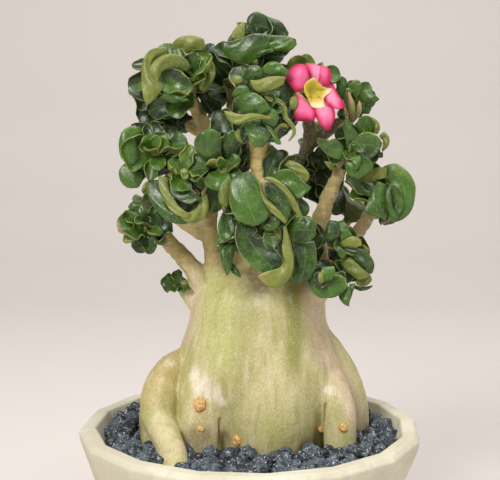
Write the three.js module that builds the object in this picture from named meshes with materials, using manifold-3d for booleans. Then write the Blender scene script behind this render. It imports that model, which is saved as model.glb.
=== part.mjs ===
// A potted desert rose: a swollen trunk with root legs, stubby branches that end in heads of curled
// fleshy leaves, one pink bloom, black lava gravel on soil, and a faceted round pot.
// Millimetres, +Z up, origin at the centre of the pot's foot. The front, which faces -Y, is the side
// with the bloom. Run it with the npm packages three and manifold-3d.
import * as THREE from "three";
import { mergeVertices } from "three/addons/utils/BufferGeometryUtils.js";
import Module from "manifold-3d";

const wasm = await Module();
wasm.setup();

// Driving dimensions of the pot and its filling
const POT_HEIGHT = 120;
const POT_RIM_RADIUS = 140;
const POT_FOOT_RADIUS = 92;
const POT_SIDES = 16;
const POT_MOUTH_RADIUS = 126;
const POT_INNER_FOOT_RADIUS = 82;
const POT_FLOOR = 12;
const FOOT_RECESS = { radius: 74, depth: 3 };
const POT_WAIST = { height: 60, radius: 121 };
const POT_BAND = { height: 10, recess: 1 };
const POT_EDGE = 4;
const FOOT_EDGE = 3;
const SOIL_TOP = 102;
const GRAVEL_TOP = 107;
const CREVICE_DEPTH = 2;
const STONE_PITCH = 16;
const STONE_RISE = 7.5;
const STONE_SHIFT = 3.5;
const STONE_TILT = 0.3;
const STONE_MARGIN = 16;
const BED_THICKNESS = 5;

// Neighbouring pieces keep this gap
const GAP = 0.35;

// Leaf blades
const LEAF_THICKNESS = 2;
const PETAL_THICKNESS = 1.6;
const GOLDEN_ANGLE = 2.39996;
const BRANCH_MARGIN = 3;
const CLEAR_FROM = 0.1;
const CLEAR_AFTER = 0.4;
const EARLY = 1.35;
const BLUNT = 0.65;
const PLUMP = 0.35;
const BROAD_LEAF = 37;
const NARROW_LEAF = 26;
const SHOOT_RADIUS = 4;
const CROWN_RADIUS = 5;
const SIDE_SHOOT_RADIUS = 3.5;
const SHOOT_TIP = { length: 3, radius: 2 };

// Sides of the faceted limbs
const LEG_SIDES = 8;
const BRANCH_SIDES = 6;
const STALK_SIDES = 8;
const TUBE_SIDES = 10;
const ROUND_SIDES = 36;

// Colour and roughness of each material
const FINISHES = {
  pot: [0xd8cfae, 0.8],
  soil: [0x3a2c22, 1],
  gravel: [0x23262b, 0.8],
  bark: [0xa9a36c, 0.6],
  leaf: [0x3f6b2f, 0.35],
  petal: [0xe0508a, 0.5],
  throat: [0xd8b63a, 0.5],
  stalk: [0x7fa04a, 0.5],
  bud: [0xc98a72, 0.5],
};

const vec = (x, y, z) => new THREE.Vector3(x, y, z);
const lerp = THREE.MathUtils.lerp;
const TAU = 2 * Math.PI;

// Trunk. The swollen body is a stack of ovals with lobes that swell out of it; root legs and branches
// grow from it. A swelling, a leg or a branch is a list of stations: x, y, z, radius.
const BODY_OVALS = [
  { z: 88, x: 10, y: 8, rx: 54, ry: 38 },
  { z: 116, x: 10, y: 6, rx: 64, ry: 44 },
  { z: 134, x: 10, y: 5, rx: 69, ry: 49 },
  { z: 152, x: 10, y: 4, rx: 71, ry: 53 },
  { z: 170, x: 9, y: 3, rx: 69, ry: 53 },
  { z: 188, x: 7, y: 2, rx: 62, ry: 50 },
  { z: 206, x: 6.5, y: 2, rx: 56, ry: 46 },
  { z: 228, x: 7, y: 2, rx: 53, ry: 41 },
  { z: 247, x: 9, y: 4, rx: 35, ry: 26 },
];
const BODY_SIDES = 32;
const BODY_CAP = 5;
const SWELLINGS = {
  elbow: [
    [-58, 2, 168, 8], [-71, 0, 152, 13], [-76, -2, 134, 13], [-75, -5, 116, 12], [-71, -8, 84, 10],
  ],
  left_lobe: [
    [-30, -8, 186, 20], [-36, -16, 160, 21], [-39, -25, 136, 19], [-40, -29, 114, 17.5],
    [-40, -29, 84, 15],
  ],
  middle_lobe: [
    [16, -2, 200, 40], [17, -9, 168, 42], [17, -14, 138, 41], [16, -15, 112, 37], [16, -13, 84, 30],
  ],
  right_side: [[50, 2, 198, 12], [62, 4, 174, 17], [72, 6, 154, 19], [78, 8, 134, 18], [80, 10, 84, 14]],
  back_left: [[-34, 30, 172, 16], [-54, 46, 146, 15], [-66, 56, 118, 12], [-72, 60, 84, 10]],
  back_right: [[40, 34, 172, 18], [54, 54, 144, 15], [62, 64, 116, 12], [66, 68, 84, 10]],
  back_middle: [[2, 40, 170, 18], [-2, 56, 142, 15], [-6, 66, 116, 12], [-8, 70, 84, 10]],
};
const LEGS = {
  arm: [
    [-46, -2, 178, 9], [-59, -8, 170, 11.5], [-69, -17, 160, 13], [-73, -26, 148, 14.5],
    [-73, -34, 134, 13.5], [-68, -44, 121, 12], [-61, -58, 108, 11], [-57, -68, 88, 10],
  ],
  right_front: [
    [56, -10, 172, 11], [65, -21, 158, 13], [70, -30, 142, 13.5], [71, -34, 122, 13],
    [71, -35, 104, 12.5], [70, -35, 86, 11],
  ],
  right_back: [
    [66, 8, 170, 10], [78, 10, 154, 12], [85, 12, 138, 12], [89, 14, 118, 10.5], [91, 15, 86, 9],
  ],
};
const BRANCHES = {
  low_left: [[-28, -2, 214, 11], [-37, -4, 232, 8.5], [-50, -8, 253, 6.2], [-74, -16, 281, 5]],
  sprout: [[-40, -2, 222, 6], [-50, -2, 232, 4]],
  left: [
    [-16, 0, 214, 20], [-22, -2, 238, 13.5], [-28, -6, 258, 8.5], [-32, -8, 279, 7],
    [-31, -4, 312, 6.5], [-30, 0, 340, 6.2], [-37, -2, 364, 6.5], [-47, -5, 384, 6],
  ],
  left_fork: [[-32, -8, 280, 6.5], [-39, -18, 298, 5.6], [-52, -34, 322, 4.8]],
  far_left: [[-41, -20, 300, 5], [-66, -9, 334, 4.8]],
  back_twig: [[-34, 0, 354, 6], [-66, 27, 374, 4.8]],
  middle: [
    [12, -6, 222, 20], [12, -14, 250, 12], [13, -24, 278, 8.5], [10, -33, 324, 7.6], [5, -29, 369, 6],
  ],
  middle_left: [[12, -30, 304, 6], [-18, -31, 333, 4.8]],
  middle_front: [[12, -30, 300, 6.5], [10, -52, 320, 5.4]],
  right: [[46, -2, 214, 15], [53, -6, 244, 9], [55, -8, 283, 7], [66, -10, 316, 5.6], [76, -15, 339, 5]],
  right_back: [[44, 14, 214, 15], [64, 22, 238, 9], [83, 26, 264, 6.5], [103, 14, 300, 5.2]],
  behind: [[24, 12, 224, 18], [27, 22, 262, 9], [35, 31, 315, 6.2], [49, 31, 350, 5.4], [43, 8, 389, 4.8]],
  behind_right: [[49, 31, 348, 5.4], [79, 11, 369, 4.6]],
  behind_low: [[32, 29, 300, 5.6], [54, 35, 318, 4.8]],
  top: [[-2, 8, 226, 16], [-4, 16, 262, 10], [-8, 23, 330, 7.5], [-6, 22, 374, 6.2], [-1, 15, 406, 5]],
  top_left: [[-8, 24, 352, 6], [-15, 29, 380, 4.8]],
  top_back: [[-8, 25, 354, 6], [8, 47, 391, 4.8]],
  low_right: [[54, -6, 236, 8], [72, -18, 262, 4.8]],
  low_front: [[50, -10, 228, 9], [57, -37, 245, 4.8]],
  low_middle: [[38, -4, 232, 9], [38, -25, 270, 4.8]],
  rear_right: [[24, 22, 226, 14], [28, 46, 268, 7.5], [38, 67, 334, 5]],
  rear_left: [[-14, 20, 224, 14], [-32, 42, 262, 7.5], [-50, 65, 324, 5]],
  rear_far_right: [[46, 20, 222, 12], [70, 50, 254, 7], [81, 64, 275, 5]],
  rear_middle: [[6, 28, 226, 13], [2, 54, 262, 7], [-2, 68, 290, 5]],
  rear_far_left: [[-34, 44, 266, 6.5], [-72, 51, 291, 5]],
};

// Leaves of each head that shows at the front, one to a line: the place where the blade leaves its
// shoot, the place of its tip, the way its upper side faces, its width, how far it bends back from
// tip to base in radians, and how far its sides fold up. A blade with a minus bend rolls inwards.
const LEAVES = {
  head_front: [
    [3, -60, 321,  -1, -72, 291,  -0.25, -0.9, 0.35,  38, 1.3, -0.5],
    [9, -63, 320,  26, -80, 295,  0.45, -0.6, 0.65,  27, 0.6, 0.8],
    [12, -58, 316,  44, -72, 320,  -0.1, -0.7, 0.7,  34, 1.1, -0.4],
    [-2, -64, 294,  15, -76, 257,  -0.25, -0.95, 0.1,  38, 0.8, 0.35],
    [24, -62, 288,  8, -84, 256,  -0.8, 0, 0.6,  30, -1.5, 0.5],
    [27, -56, 284,  38, -60, 245,  0.25, -0.97, 0,  39, 0.5, -0.3],
    [26, -58, 292,  49, -68, 283,  0.1, -0.6, 0.8,  32, 1, -0.6],
    [-14, -60, 300,  -17, -64, 279,  -0.2, -0.95, 0.2,  18, 0.5, 0.3],
    [-10, -62, 281,  -17, -62, 253,  -0.5, -0.85, 0,  17, 0.3, 0.3],
    [12, -50, 316,  21, -42, 346,  -0.2, -0.95, 0.1,  24, 0.5, 0.4],
  ],
  head_middle_left: [
    [-21, -44, 334,  -38, -52, 360,  -0.35, -0.85, 0.4,  34, 0.9, -0.4],
    [-21, -46, 335,  -25, -56, 314,  0, -0.85, 0.5,  28, 0.9, 0.2],
    [-18, -38, 336,  -2, -36, 356,  0.2, -1, 0.1,  27, 0.4, 0.3],
  ],
  head_left_inner: [
    [-51, -42, 326,  -59, -52, 341,  -0.1, -0.8, 0.6,  26, 0.3, 0.7],
    [-50, -44, 324,  -56, -58, 315,  0, -0.85, 0.5,  26, 0.5, 0.8],
    [-50, -42, 326,  -31, -50, 327,  0, -0.6, 0.8,  24, 0.3, 0.6],
    [-50, -42, 320,  -49, -50, 304,  0, -0.9, 0.2,  25, 0.6, 0.3],
    [-66, -44, 323,  -48, -58, 292,  -0.6, -0.75, -0.1,  24, 1.1, -0.4],
    [-59, -44, 323,  -33, -62, 305,  0.5, -0.1, 0.85,  22, -1.6, 0.4],
  ],
  head_left: [
    [-70, -26, 340,  -99, -34, 345,  0.25, -0.85, 0.3,  43, -0.4, 0.8],
    [-71, -26, 334,  -97, -32, 322,  0.2, -0.8, 0.4,  27, 0.3, 0.8],
    [-70, -30, 337,  -80, -40, 321,  0, -0.9, 0.3,  21, 0.5, 0.4],
    [-72, -22, 346,  -89, -18, 363,  -0.2, -0.6, 0.8,  25, 0.5, 0.3],
    [-68, -20, 345,  -57, -12, 362,  0.1, -0.7, 0.7,  25, 0.5, 0.3],
    [-69, -32, 341,  -70, -44, 329,  0.1, -0.9, 0.4,  24, 0.5, 0.2],
  ],
  head_low_left: [
    [-77, -26, 286,  -101, -38, 285,  -0.1, -0.75, 0.65,  28, 0.6, 0.4],
    [-78, -26, 287,  -61, -34, 273,  0.3, -0.9, 0.3,  31, 0.6, 0.2],
    [-78, -28, 283,  -98, -38, 274,  -0.1, -0.8, 0.4,  21, 0.5, 0.3],
    [-78, -26, 279,  -87, -32, 265,  0, -0.95, 0,  23, 0.5, 0.2],
    [-78, -26, 289,  -81, -34, 300,  0.1, -0.8, 0.6,  21, 0.3, 0.5],
  ],
  head_top_left: [
    [-64, -14, 413,  -79, -40, 380,  0.75, 0.5, -0.3,  35, -1.5, 0.4],
    [-44, -14, 394,  -72, -38, 398,  0.05, 0.35, -0.95,  28, -2.2, 0.3],
    [-48, 6, 404,  -46, 0, 433,  0, 0.85, -0.5,  34, -0.9, 0.5],
    [-47, -18, 390,  -64, -34, 397,  -0.2, -0.9, 0.4,  27, 0.4, 0.3],
    [-45, -14, 393,  -29, -20, 414,  -0.3, -0.85, 0.2,  29, -0.4, 0.6],
    [-46, -20, 396,  -40, -34, 415,  -0.1, -0.9, 0.3,  20, 0.3, 0.6],
    [-45, -18, 394,  -32, -32, 394,  0.2, -0.8, 0.5,  20, 0.5, 0.5],
  ],
  head_back_left: [
    [-66, 18, 377,  -96, 12, 396,  0.2, -0.9, 0.3,  32, 0.5, 0.4],
    [-67, 20, 374,  -90, 14, 367,  0, -0.9, 0.2,  28, 0.5, 0.3],
    [-63, 18, 374,  -59, 14, 355,  0, -1, 0.1,  28, 0.4, 0.2],
    [-63, 14, 377,  -65, 2, 368,  0, -0.9, 0.3,  26, 0.6, 0.1],
    [-65, 20, 380,  -73, 26, 393,  -0.2, -0.7, 0.6,  26, 0.5, 0.3],
    [-69, 32, 375,  -84, 52, 380,  -0.4, 0.3, 0.9,  29, 0.6, 0.3],
  ],
  head_inner_top: [
    [-15, 24, 391,  -36, 18, 388,  0, -0.25, 0.95,  30, 0.5, 0.6],
    [-18, 22, 395,  -34, 10, 421,  -0.4, -0.85, 0.2,  32, 0.6, 0.3],
    [-16, 34, 387,  -30, 38, 373,  -0.4, -0.5, 0.6,  29, 0.8, 0.2],
    [-15, 34, 391,  -23, 50, 406,  -0.2, 0.4, 0.9,  29, 0.5, 0.3],
  ],
  head_top: [
    [5, 18, 417,  10, 24, 454,  0, -0.95, 0.3,  45, -0.3, 0.4],
    [6, 16, 417,  32, 18, 441,  0.2, -0.9, 0.3,  30, 0.3, 0.4],
    [3, 6, 416,  -22, -8, 425,  0.1, -0.4, 0.9,  38, 0.1, 0.9],
    [6, 4, 418,  37, -4, 428,  0, -0.5, 0.85,  25, 0.5, -0.2],
    [2, -4, 407,  -5, -20, 403,  0, -0.8, 0.6,  20, 0.5, 0.2],
    [5, -2, 407,  30, -14, 410,  0, -0.3, 0.9,  21, -0.4, 0.5],
    [5, 24, 419,  -3, 44, 437,  0, 0.3, 0.95,  38, 0.5, 0.3],
    [3, 0, 415,  2, -16, 425,  0, -0.7, 0.7,  23, 0.2, 0.8],
  ],
  head_upper_middle: [
    [6, -40, 371,  -15, -58, 376,  0.05, -0.75, 0.65,  36, 0.6, 0.2],
    [6, -42, 370,  -18, -56, 369,  0, 0.2, 0.95,  22, -0.6, 0.4],
    [11, -32, 382,  0, -46, 397,  0.2, 0.5, 0.85,  26, -0.9, 0.5],
    [12, -32, 380,  30, -40, 398,  0.1, 0.4, 0.9,  22, -0.6, 0.5],
    [8, -42, 368,  4, -58, 349,  0.3, -0.9, 0.3,  28, 0.4, 1],
    [2, -34, 370,  -27, -34, 365,  0.1, -0.9, 0.2,  23, 0.4, 0.3],
    [9, -42, 374,  24, -54, 386,  0, -0.8, 0.6,  26, 0.5, 0.3],
    [9, -44, 374,  6, -62, 386,  0, -0.7, 0.7,  22, 0.3, 0.4],
  ],
  head_bloom: [
    [43, 4, 390,  25, -6, 385,  0, -0.8, 0.5,  21, 0.5, 0.3],
    [45, 4, 390,  62, 0, 374,  0.2, -0.8, 0.4,  23, 0.5, 0.3],
    [43, 8, 390,  38, 0, 379,  0, -0.9, 0.3,  21, 0.5, 0.3],
    [44, 16, 395,  51, 34, 408,  0, 0.4, 0.9,  29, 0.5, 0.3],
  ],
  head_upper_right: [
    [79, 4, 377,  89, 4, 399,  0.1, -0.85, 0.4,  23, 0.3, 0.5],
    [77, 4, 374,  65, 0, 391,  -0.2, -0.9, 0.3,  21, 0.4, 0.3],
    [80, 14, 375,  100, 34, 391,  0.3, 0.4, 0.9,  26, 0.5, 0.3],
    [79, 14, 377,  76, 34, 393,  -0.2, 0.4, 0.9,  26, 0.5, 0.3],
  ],
  head_right: [
    [73, -24, 340,  52, -32, 353,  -0.1, -0.8, 0.55,  27, 0.6, 0.2],
    [78, -26, 342,  103, -34, 351,  0.1, -0.75, 0.65,  39, 0.7, -0.2],
    [77, -28, 340,  85, -42, 322,  0.1, -0.9, 0.4,  29, 0.6, 0.3],
    [80, -20, 346,  102, -14, 365,  0.1, -0.75, 0.65,  23, 0.5, -0.2],
    [75, -18, 337,  60, -14, 337,  0.1, -0.85, 0,  21, 0.4, 0.5],
    [77, -30, 344,  78, -42, 355,  0, -0.8, 0.6,  20, 0.3, 0.6],
    [77, -30, 342,  88, -44, 340,  0.1, -0.8, 0.6,  20, 0.5, 0.3],
  ],
  head_far_right: [
    [109, 0, 305,  129, -10, 320,  0.15, -0.95, 0.2,  45, 0.5, 0.3],
    [109, -4, 302,  119, -16, 287,  0.2, -0.9, 0.3,  40, 0.5, 0.3],
    [109, 2, 308,  114, 0, 333,  0, -0.7, 0.6,  32, 0.7, 0.2],
    [108, 2, 310,  89, 0, 325,  0, -0.5, 0.85,  21, 0.4, 0.3],
    [108, 0, 307,  86, -4, 313,  0, -0.95, 0.2,  21, 0.4, 0.3],
    [108, 0, 304,  91, -6, 294,  -0.1, -0.9, 0.35,  24, 0.5, 0.2],
    [107, 20, 299,  68, 24, 292,  0, -0.95, 0.1,  24, 0.4, 0.2],
    [111, 14, 306,  122, 36, 312,  0.4, 0.4, 0.8,  31, 0.5, 0.3],
  ],
  head_low_right: [
    [73, -28, 267,  96, -40, 254,  0.2, -0.75, 0.65,  27, 0.6, 0.3],
    [72, -26, 260,  95, -34, 241,  0.1, -0.75, -0.5,  21, 0.3, 0.4],
    [69, -28, 267,  61, -36, 291,  -0.1, -0.9, 0.4,  29, 0.4, 0.3],
    [71, -26, 267,  77, -28, 283,  0.1, -0.9, 0.4,  21, 0.4, 0.3],
  ],
  head_low_front: [
    [57, -46, 249,  61, -60, 234,  0, -0.85, 0.5,  41, 0.5, 0.5],
    [56, -46, 248,  43, -58, 248,  0.3, -0.9, 0.3,  26, 0.3, 0.5],
    [58, -46, 249,  74, -56, 249,  -0.2, -0.9, 0.3,  28, 0.4, 0.4],
    [58, -44, 249,  62, -50, 264,  0, -0.9, 0.4,  20, 0.2, 0.6],
  ],
  head_low_middle: [
    [39, -30, 272,  46, -42, 295,  0.1, -0.9, 0.3,  25, 0.4, 0.3],
    [39, -28, 272,  56, -34, 282,  0.2, -0.85, 0.4,  21, 0.5, 0.3],
    [37, -30, 270,  29, -42, 260,  0, -0.95, 0.2,  27, 0.5, 0.2],
    [39, -30, 270,  50, -38, 256,  0.2, -0.9, 0.2,  23, 0.5, 0.2],
  ],
  head_inner_right: [
    [56, 32, 321,  58, 26, 341,  0, -0.95, 0.3,  29, 0.5, 0.3],
    [56, 32, 319,  77, 24, 315,  0.1, -0.9, 0.2,  26, 0.5, 0.3],
    [55, 32, 317,  45, 26, 303,  0, -0.95, 0.1,  29, 0.5, 0.3],
    [56, 30, 316,  63, 22, 298,  0.1, -0.9, 0.2,  29, 0.5, 0.3],
    [57, 40, 320,  73, 54, 334,  0.3, 0.4, 0.8,  30, 0.5, 0.3],
    [55, 40, 319,  41, 52, 330,  -0.3, 0.4, 0.8,  29, 0.5, 0.3],
  ],
  sprout: [
    [-53, -6, 236,  -70, -10, 234,  -0.2, -0.6, 0.75,  17, 0.5, 0.3],
    [-52, -6, 238,  -60, -4, 247,  -0.2, -0.7, 0.6,  13, 0.3, 0.5],
    [-52, -6, 236,  -56, -14, 231,  -0.2, -0.8, 0.5,  15, 0.5, 0.3],
  ],
};

// The shoots that carry the heads: each starts at the end of its branch
const SHOOTS = {
  head_front: [[10, -52, 320], [12, -60, 308], [14, -65, 290]],
  head_middle_left: [[-18, -31, 333], [-20, -42, 336], [-20, -46, 330]],
  head_upper_middle: [[5, -29, 369], [9, -38, 373], [10, -44, 376]],
  head_top_left: [[-47, -5, 384], [-46, -13, 391], [-48, -20, 397]],
  head_left_inner: [[-52, -34, 322], [-51, -42, 325], [-50, -47, 328]],
  head_left: [[-66, -9, 334], [-71, -22, 338], [-72, -31, 342]],
  head_low_left: [[-74, -16, 281], [-79, -24, 284], [-80, -31, 284]],
  head_right: [[76, -15, 339], [79, -22, 342], [80, -30, 343]],
  head_far_right: [[103, 14, 300], [109, 3, 303], [112, -8, 303]],
  head_low_right: [[72, -18, 262], [73, -26, 266], [73, -32, 266]],
  head_low_front: [[57, -37, 245], [58, -44, 247], [59, -49, 249]],
  head_low_middle: [[38, -25, 270], [39, -31, 273]],
  head_top: [[-1, 15, 406], [3, 12, 416], [4, 4, 417], [4, -4, 411]],
  head_bloom: [[43, 8, 389], [44, 5, 395], [45, 6, 399]],
  head_upper_right: [[79, 11, 369], [80, 5, 376], [80, 4, 382]],
  head_back_left: [[-66, 27, 374], [-67, 20, 378], [-66, 16, 380]],
  head_inner_top: [[-15, 29, 380], [-15, 27, 389], [-16, 26, 395]],
  head_inner_right: [[54, 35, 318], [56, 34, 324], [56, 34, 329]],
  sprout: [[-50, -2, 232], [-53, -6, 236]],
};

// Side shoots of the two widest heads
const SIDE_SHOOTS = {
  head_front: [
    [[12, -60, 308], [-2, -62, 296]],
    [[13, -62, 300], [25, -59, 289]],
  ],
  head_top_left: [
    [[-46, -13, 391], [-60, -15, 411]],
    [[-46, -9, 388], [-48, 3, 402]],
  ],
};

// Heads at the back, set out by the golden angle
const REAR_HEADS = [
  { name: "head_rear_top", base: [8, 47, 391], axis: [0.1, 0.5, 0.85], radius: 29, seed: 26 },
  { name: "head_rear_right", base: [38, 67, 334], axis: [0.25, 0.55, 0.8], radius: 31, seed: 37 },
  { name: "head_rear_left", base: [-50, 65, 324], axis: [-0.35, 0.5, 0.8], radius: 31, seed: 43 },
  { name: "head_rear_far_right", base: [81, 64, 275], axis: [0.5, 0.5, 0.7], radius: 27, seed: 59 },
  { name: "head_rear_middle", base: [-2, 68, 290], axis: [0, 0.75, 0.65], radius: 28, seed: 67 },
  { name: "head_rear_far_left", base: [-72, 51, 291], axis: [-0.65, 0.4, 0.65], radius: 25, seed: 73 },
];
const REAR_LEAF_COUNT = 6;
const REAR_LEAF_WIDTH = 0.78;
const REAR_SHOOT = 0.5;

// From the outermost leaf of a rosette to the innermost: how far it leans from the axis, its length
// and the place of its stalk as shares of the radius, its bend, and how far its sides fold up
const LEAN = [1.6, 0.35];
const LENGTH = [1.35, 0.8];
const STALK_PLACE = [0.15, 0.4];
const BEND = [1, -0.3];
const FOLD = [0.1, 0.8];

// Bloom: the throat is its centre, and each petal has the place of its tip, its width and its bend
const THROAT = [50, -41, 387];
const TUBE_END = [47, -20, 384];
const TUBE_RADII = [2.5, 6];
const PETAL_CUP = 0.25;
const PETAL_ROOT = 2;
const THROAT_STAR = { points: 5, waist: 0.6, back: 3, front: 1.5 };
const THROAT_RIMS = [[9, -1], [8, 2]];
const CALYX_STALK = [[44, 5, 395, 2.2], [45, -6, 390, 2.2], [47, -21, 384, 2.6]];
const PETALS = [
  { tip: [28, -46, 405], width: 20, bend: 0.5 },
  { tip: [58, -46, 408], width: 18, bend: 0.6 },
  { tip: [73, -50, 377], width: 18, bend: 0.3 },
  { tip: [59, -50, 358], width: 17, bend: 0.4 },
  { tip: [40, -47, 366], width: 17, bend: 0.5 },
];
const BUDS = [
  [[77, -14, 337, 1.8], [79, -9, 352, 1.6], [80, -8, 368, 1.5]],
  [[80, -8, 367, 1.5], [80, -13, 371, 3.2], [79, -15, 380, 3.6], [77, -15, 389, 1.2]],
  [[80, -8, 367, 1.5], [84, -13, 371, 2.6], [86, -15, 378, 2.8], [86, -15, 384, 1]],
  [[80, -8, 367, 1.5], [76, -12, 370, 2], [75, -14, 375, 2.2], [74, -14, 380, 0.8]],
];

// A repeatable draw between 0 and 1 from two whole numbers
function draw(seed, k) {
  const x = Math.sin(seed * 12.9898 + k * 78.233) * 43758.5453;
  return x - Math.floor(x);
}

// Solids

function solidFrom(points, triangles) {
  const mesh = new wasm.Mesh({
    numProp: 3,
    vertProperties: new Float32Array(points.flatMap((p) => [p.x, p.y, p.z])),
    triVerts: new Uint32Array(triangles.flat()),
  });
  return new wasm.Manifold(mesh);
}

function solidFromGeometry(geometry) {
  const bare = geometry.clone();
  bare.deleteAttribute("normal");
  bare.deleteAttribute("uv");
  const merged = mergeVertices(bare, 1e-4);
  return new wasm.Manifold(
    new wasm.Mesh({
      numProp: 3,
      vertProperties: merged.attributes.position.array,
      triVerts: new Uint32Array(merged.index.array),
    }),
  );
}

function joined(solids) {
  return solids.reduce((whole, next) => whole.add(next));
}

// The largest body of a solid, without the loose scraps that a cut can leave
function largestBody(solid) {
  const bodies = solid.decompose();
  return bodies.reduce((best, body) => (body.volume() > best.volume() ? body : best));
}

function meshOf(name, solid, finish) {
  const { vertProperties, triVerts } = solid.getMesh();
  const geometry = new THREE.BufferGeometry();
  geometry.setAttribute("position", new THREE.BufferAttribute(vertProperties, 3));
  geometry.setIndex(new THREE.BufferAttribute(triVerts, 1));
  geometry.computeVertexNormals();
  const [color, roughness] = FINISHES[finish];
  const material = new THREE.MeshStandardMaterial({ color, roughness, metalness: 0 });
  const mesh = new THREE.Mesh(geometry, material);
  mesh.name = name;
  return mesh;
}

// Joins rings of points, each with as many points, into a closed skin with a point at each end
function skinOfRings(first, rings, last) {
  const sides = rings[0].length;
  const points = [first, ...rings.flat(), last];
  const triangles = [];
  const at = (ring, i) => 1 + ring * sides + (i % sides);
  for (let i = 0; i < sides; i++) {
    triangles.push([0, at(0, i + 1), at(0, i)]);
    for (let ring = 0; ring + 1 < rings.length; ring++) {
      triangles.push([at(ring, i), at(ring, i + 1), at(ring + 1, i + 1)]);
      triangles.push([at(ring, i), at(ring + 1, i + 1), at(ring + 1, i)]);
    }
    const top = rings.length - 1;
    triangles.push([points.length - 1, at(top, i), at(top, i + 1)]);
  }
  return solidFrom(points, triangles);
}

// Pot: a sixteen-sided cup whose wall is cut in long triangular facets, turned by a part of a side

const POT_TURN = 0.25;
const POT_RINGS = [
  { height: 0, radius: POT_FOOT_RADIUS - FOOT_EDGE, turn: 0 },
  { height: POT_EDGE, radius: POT_FOOT_RADIUS, turn: 0 },
  { ...POT_WAIST, turn: 0.5 },
  { height: POT_HEIGHT - POT_BAND.height, radius: POT_RIM_RADIUS - POT_BAND.recess, turn: 0 },
  { height: POT_HEIGHT - POT_EDGE, radius: POT_RIM_RADIUS, turn: 0 },
  { height: POT_HEIGHT, radius: POT_RIM_RADIUS - POT_EDGE, turn: 0 },
];

function polygonRing({ height, radius, turn }) {
  return Array.from({ length: POT_SIDES }, (_, i) => {
    const angle = ((i + turn + POT_TURN) / POT_SIDES) * TAU;
    return vec(radius * Math.cos(angle), radius * Math.sin(angle), height);
  });
}

// The inside of the pot between two heights, drawn in by a clearance
function potInside(from, to, clearance) {
  const rise = (z) => (z - POT_FLOOR) / (POT_HEIGHT - POT_FLOOR);
  const radiusAt = (z) => lerp(POT_INNER_FOOT_RADIUS, POT_MOUTH_RADIUS, rise(z)) - clearance;
  const profile = [
    new THREE.Vector2(0, from),
    new THREE.Vector2(radiusAt(from), from),
    new THREE.Vector2(radiusAt(to), to),
    new THREE.Vector2(0, to),
  ];
  return solidFromGeometry(new THREE.LatheGeometry(profile, ROUND_SIDES).rotateX(Math.PI / 2));
}

function potSolid() {
  const outer = skinOfRings(vec(0, 0, 0), POT_RINGS.map(polygonRing), vec(0, 0, POT_HEIGHT));
  const { radius, depth } = FOOT_RECESS;
  const recess = new THREE.CylinderGeometry(radius, radius, 2 * depth, ROUND_SIDES).rotateX(Math.PI / 2);
  return outer
    .subtract(potInside(POT_FLOOR, POT_HEIGHT + 1, 0))
    .subtract(solidFromGeometry(recess));
}

// Gravel: angular stones packed in a jittered honeycomb. Neighbours share their crevices, and each
// stone rises from its crevices to a tilted top.

function gravelSolid() {
  const rowPitch = (STONE_PITCH * Math.sqrt(3)) / 2;
  const reach = Math.ceil(POT_MOUTH_RADIUS / rowPitch) + 1;
  const points = [];
  const triangles = [];
  const corners = new Map();
  const edges = new Map();
  const corner = (x, y) => {
    const key = `${Math.round(x * 2)} ${Math.round(y * 2)}`;
    if (!corners.has(key)) {
      const seed = points.length;
      const shift = (k) => STONE_SHIFT * (draw(seed, k) - 0.5);
      const crevice = GRAVEL_TOP + CREVICE_DEPTH * (0.3 + draw(seed, 3));
      points.push(vec(x + shift(1), y + shift(2), crevice));
      corners.set(key, seed);
    }
    return corners.get(key);
  };
  for (let q = -reach; q <= reach; q++) {
    for (let r = -reach; r <= reach; r++) {
      const centre = vec((q + r / 2) * STONE_PITCH, r * rowPitch, 0);
      if (centre.length() > POT_MOUTH_RADIUS - STONE_MARGIN) continue;
      const seed = 500 + q * 61 + r;
      const ring = Array.from({ length: 6 }, (_, i) => {
        const angle = ((i + 0.5) / 6) * TAU;
        const size = STONE_PITCH / Math.sqrt(3);
        return corner(centre.x + size * Math.cos(angle), centre.y + size * Math.sin(angle));
      });
      const tilt = vec(STONE_TILT * (draw(seed, 1) - 0.5), STONE_TILT * (draw(seed, 2) - 0.5), 0);
      const rise = STONE_RISE * (0.75 + 0.5 * draw(seed, 3));
      const top = [0, 2, 4].map((i) => {
        const p = points[ring[i]].clone().lerp(points[ring[i + 1]], 0.5);
        p.lerp(centre, 0.35 + 0.3 * draw(seed, 4 + i));
        p.z = GRAVEL_TOP + rise * (0.7 + 0.3 * draw(seed, 11 + i)) + tilt.dot(p.clone().sub(centre));
        points.push(p);
        return points.length - 1;
      });
      for (let k = 0; k < 3; k++) {
        const [a, b, c] = [ring[2 * k], ring[2 * k + 1], ring[(2 * k + 2) % 6]];
        const [near, next] = [top[k], top[(k + 1) % 3]];
        triangles.push([a, b, near], [b, next, near], [b, c, next]);
        edges.set(`${b} ${a}`, [a, b]);
        edges.set(`${c} ${b}`, [b, c]);
      }
      triangles.push(top);
    }
  }
  // the rim of the patch: edges that only one stone has, closed by a wall down into a thin bed
  const floorOf = new Map();
  const floor = (at) => {
    if (!floorOf.has(at)) {
      floorOf.set(at, points.length);
      points.push(vec(points[at].x, points[at].y, GRAVEL_TOP - BED_THICKNESS + 1));
    }
    return floorOf.get(at);
  };
  const middle = points.push(vec(0, 0, GRAVEL_TOP - BED_THICKNESS + 1)) - 1;
  for (const [a, b] of edges.values()) {
    if (edges.has(`${a} ${b}`)) continue;
    triangles.push([a, floor(a), b], [b, floor(a), floor(b)], [middle, floor(b), floor(a)]);
  }
  return solidFrom(points, triangles).add(potInside(SOIL_TOP + GAP, GRAVEL_TOP, GAP));
}

// Trunk

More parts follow.
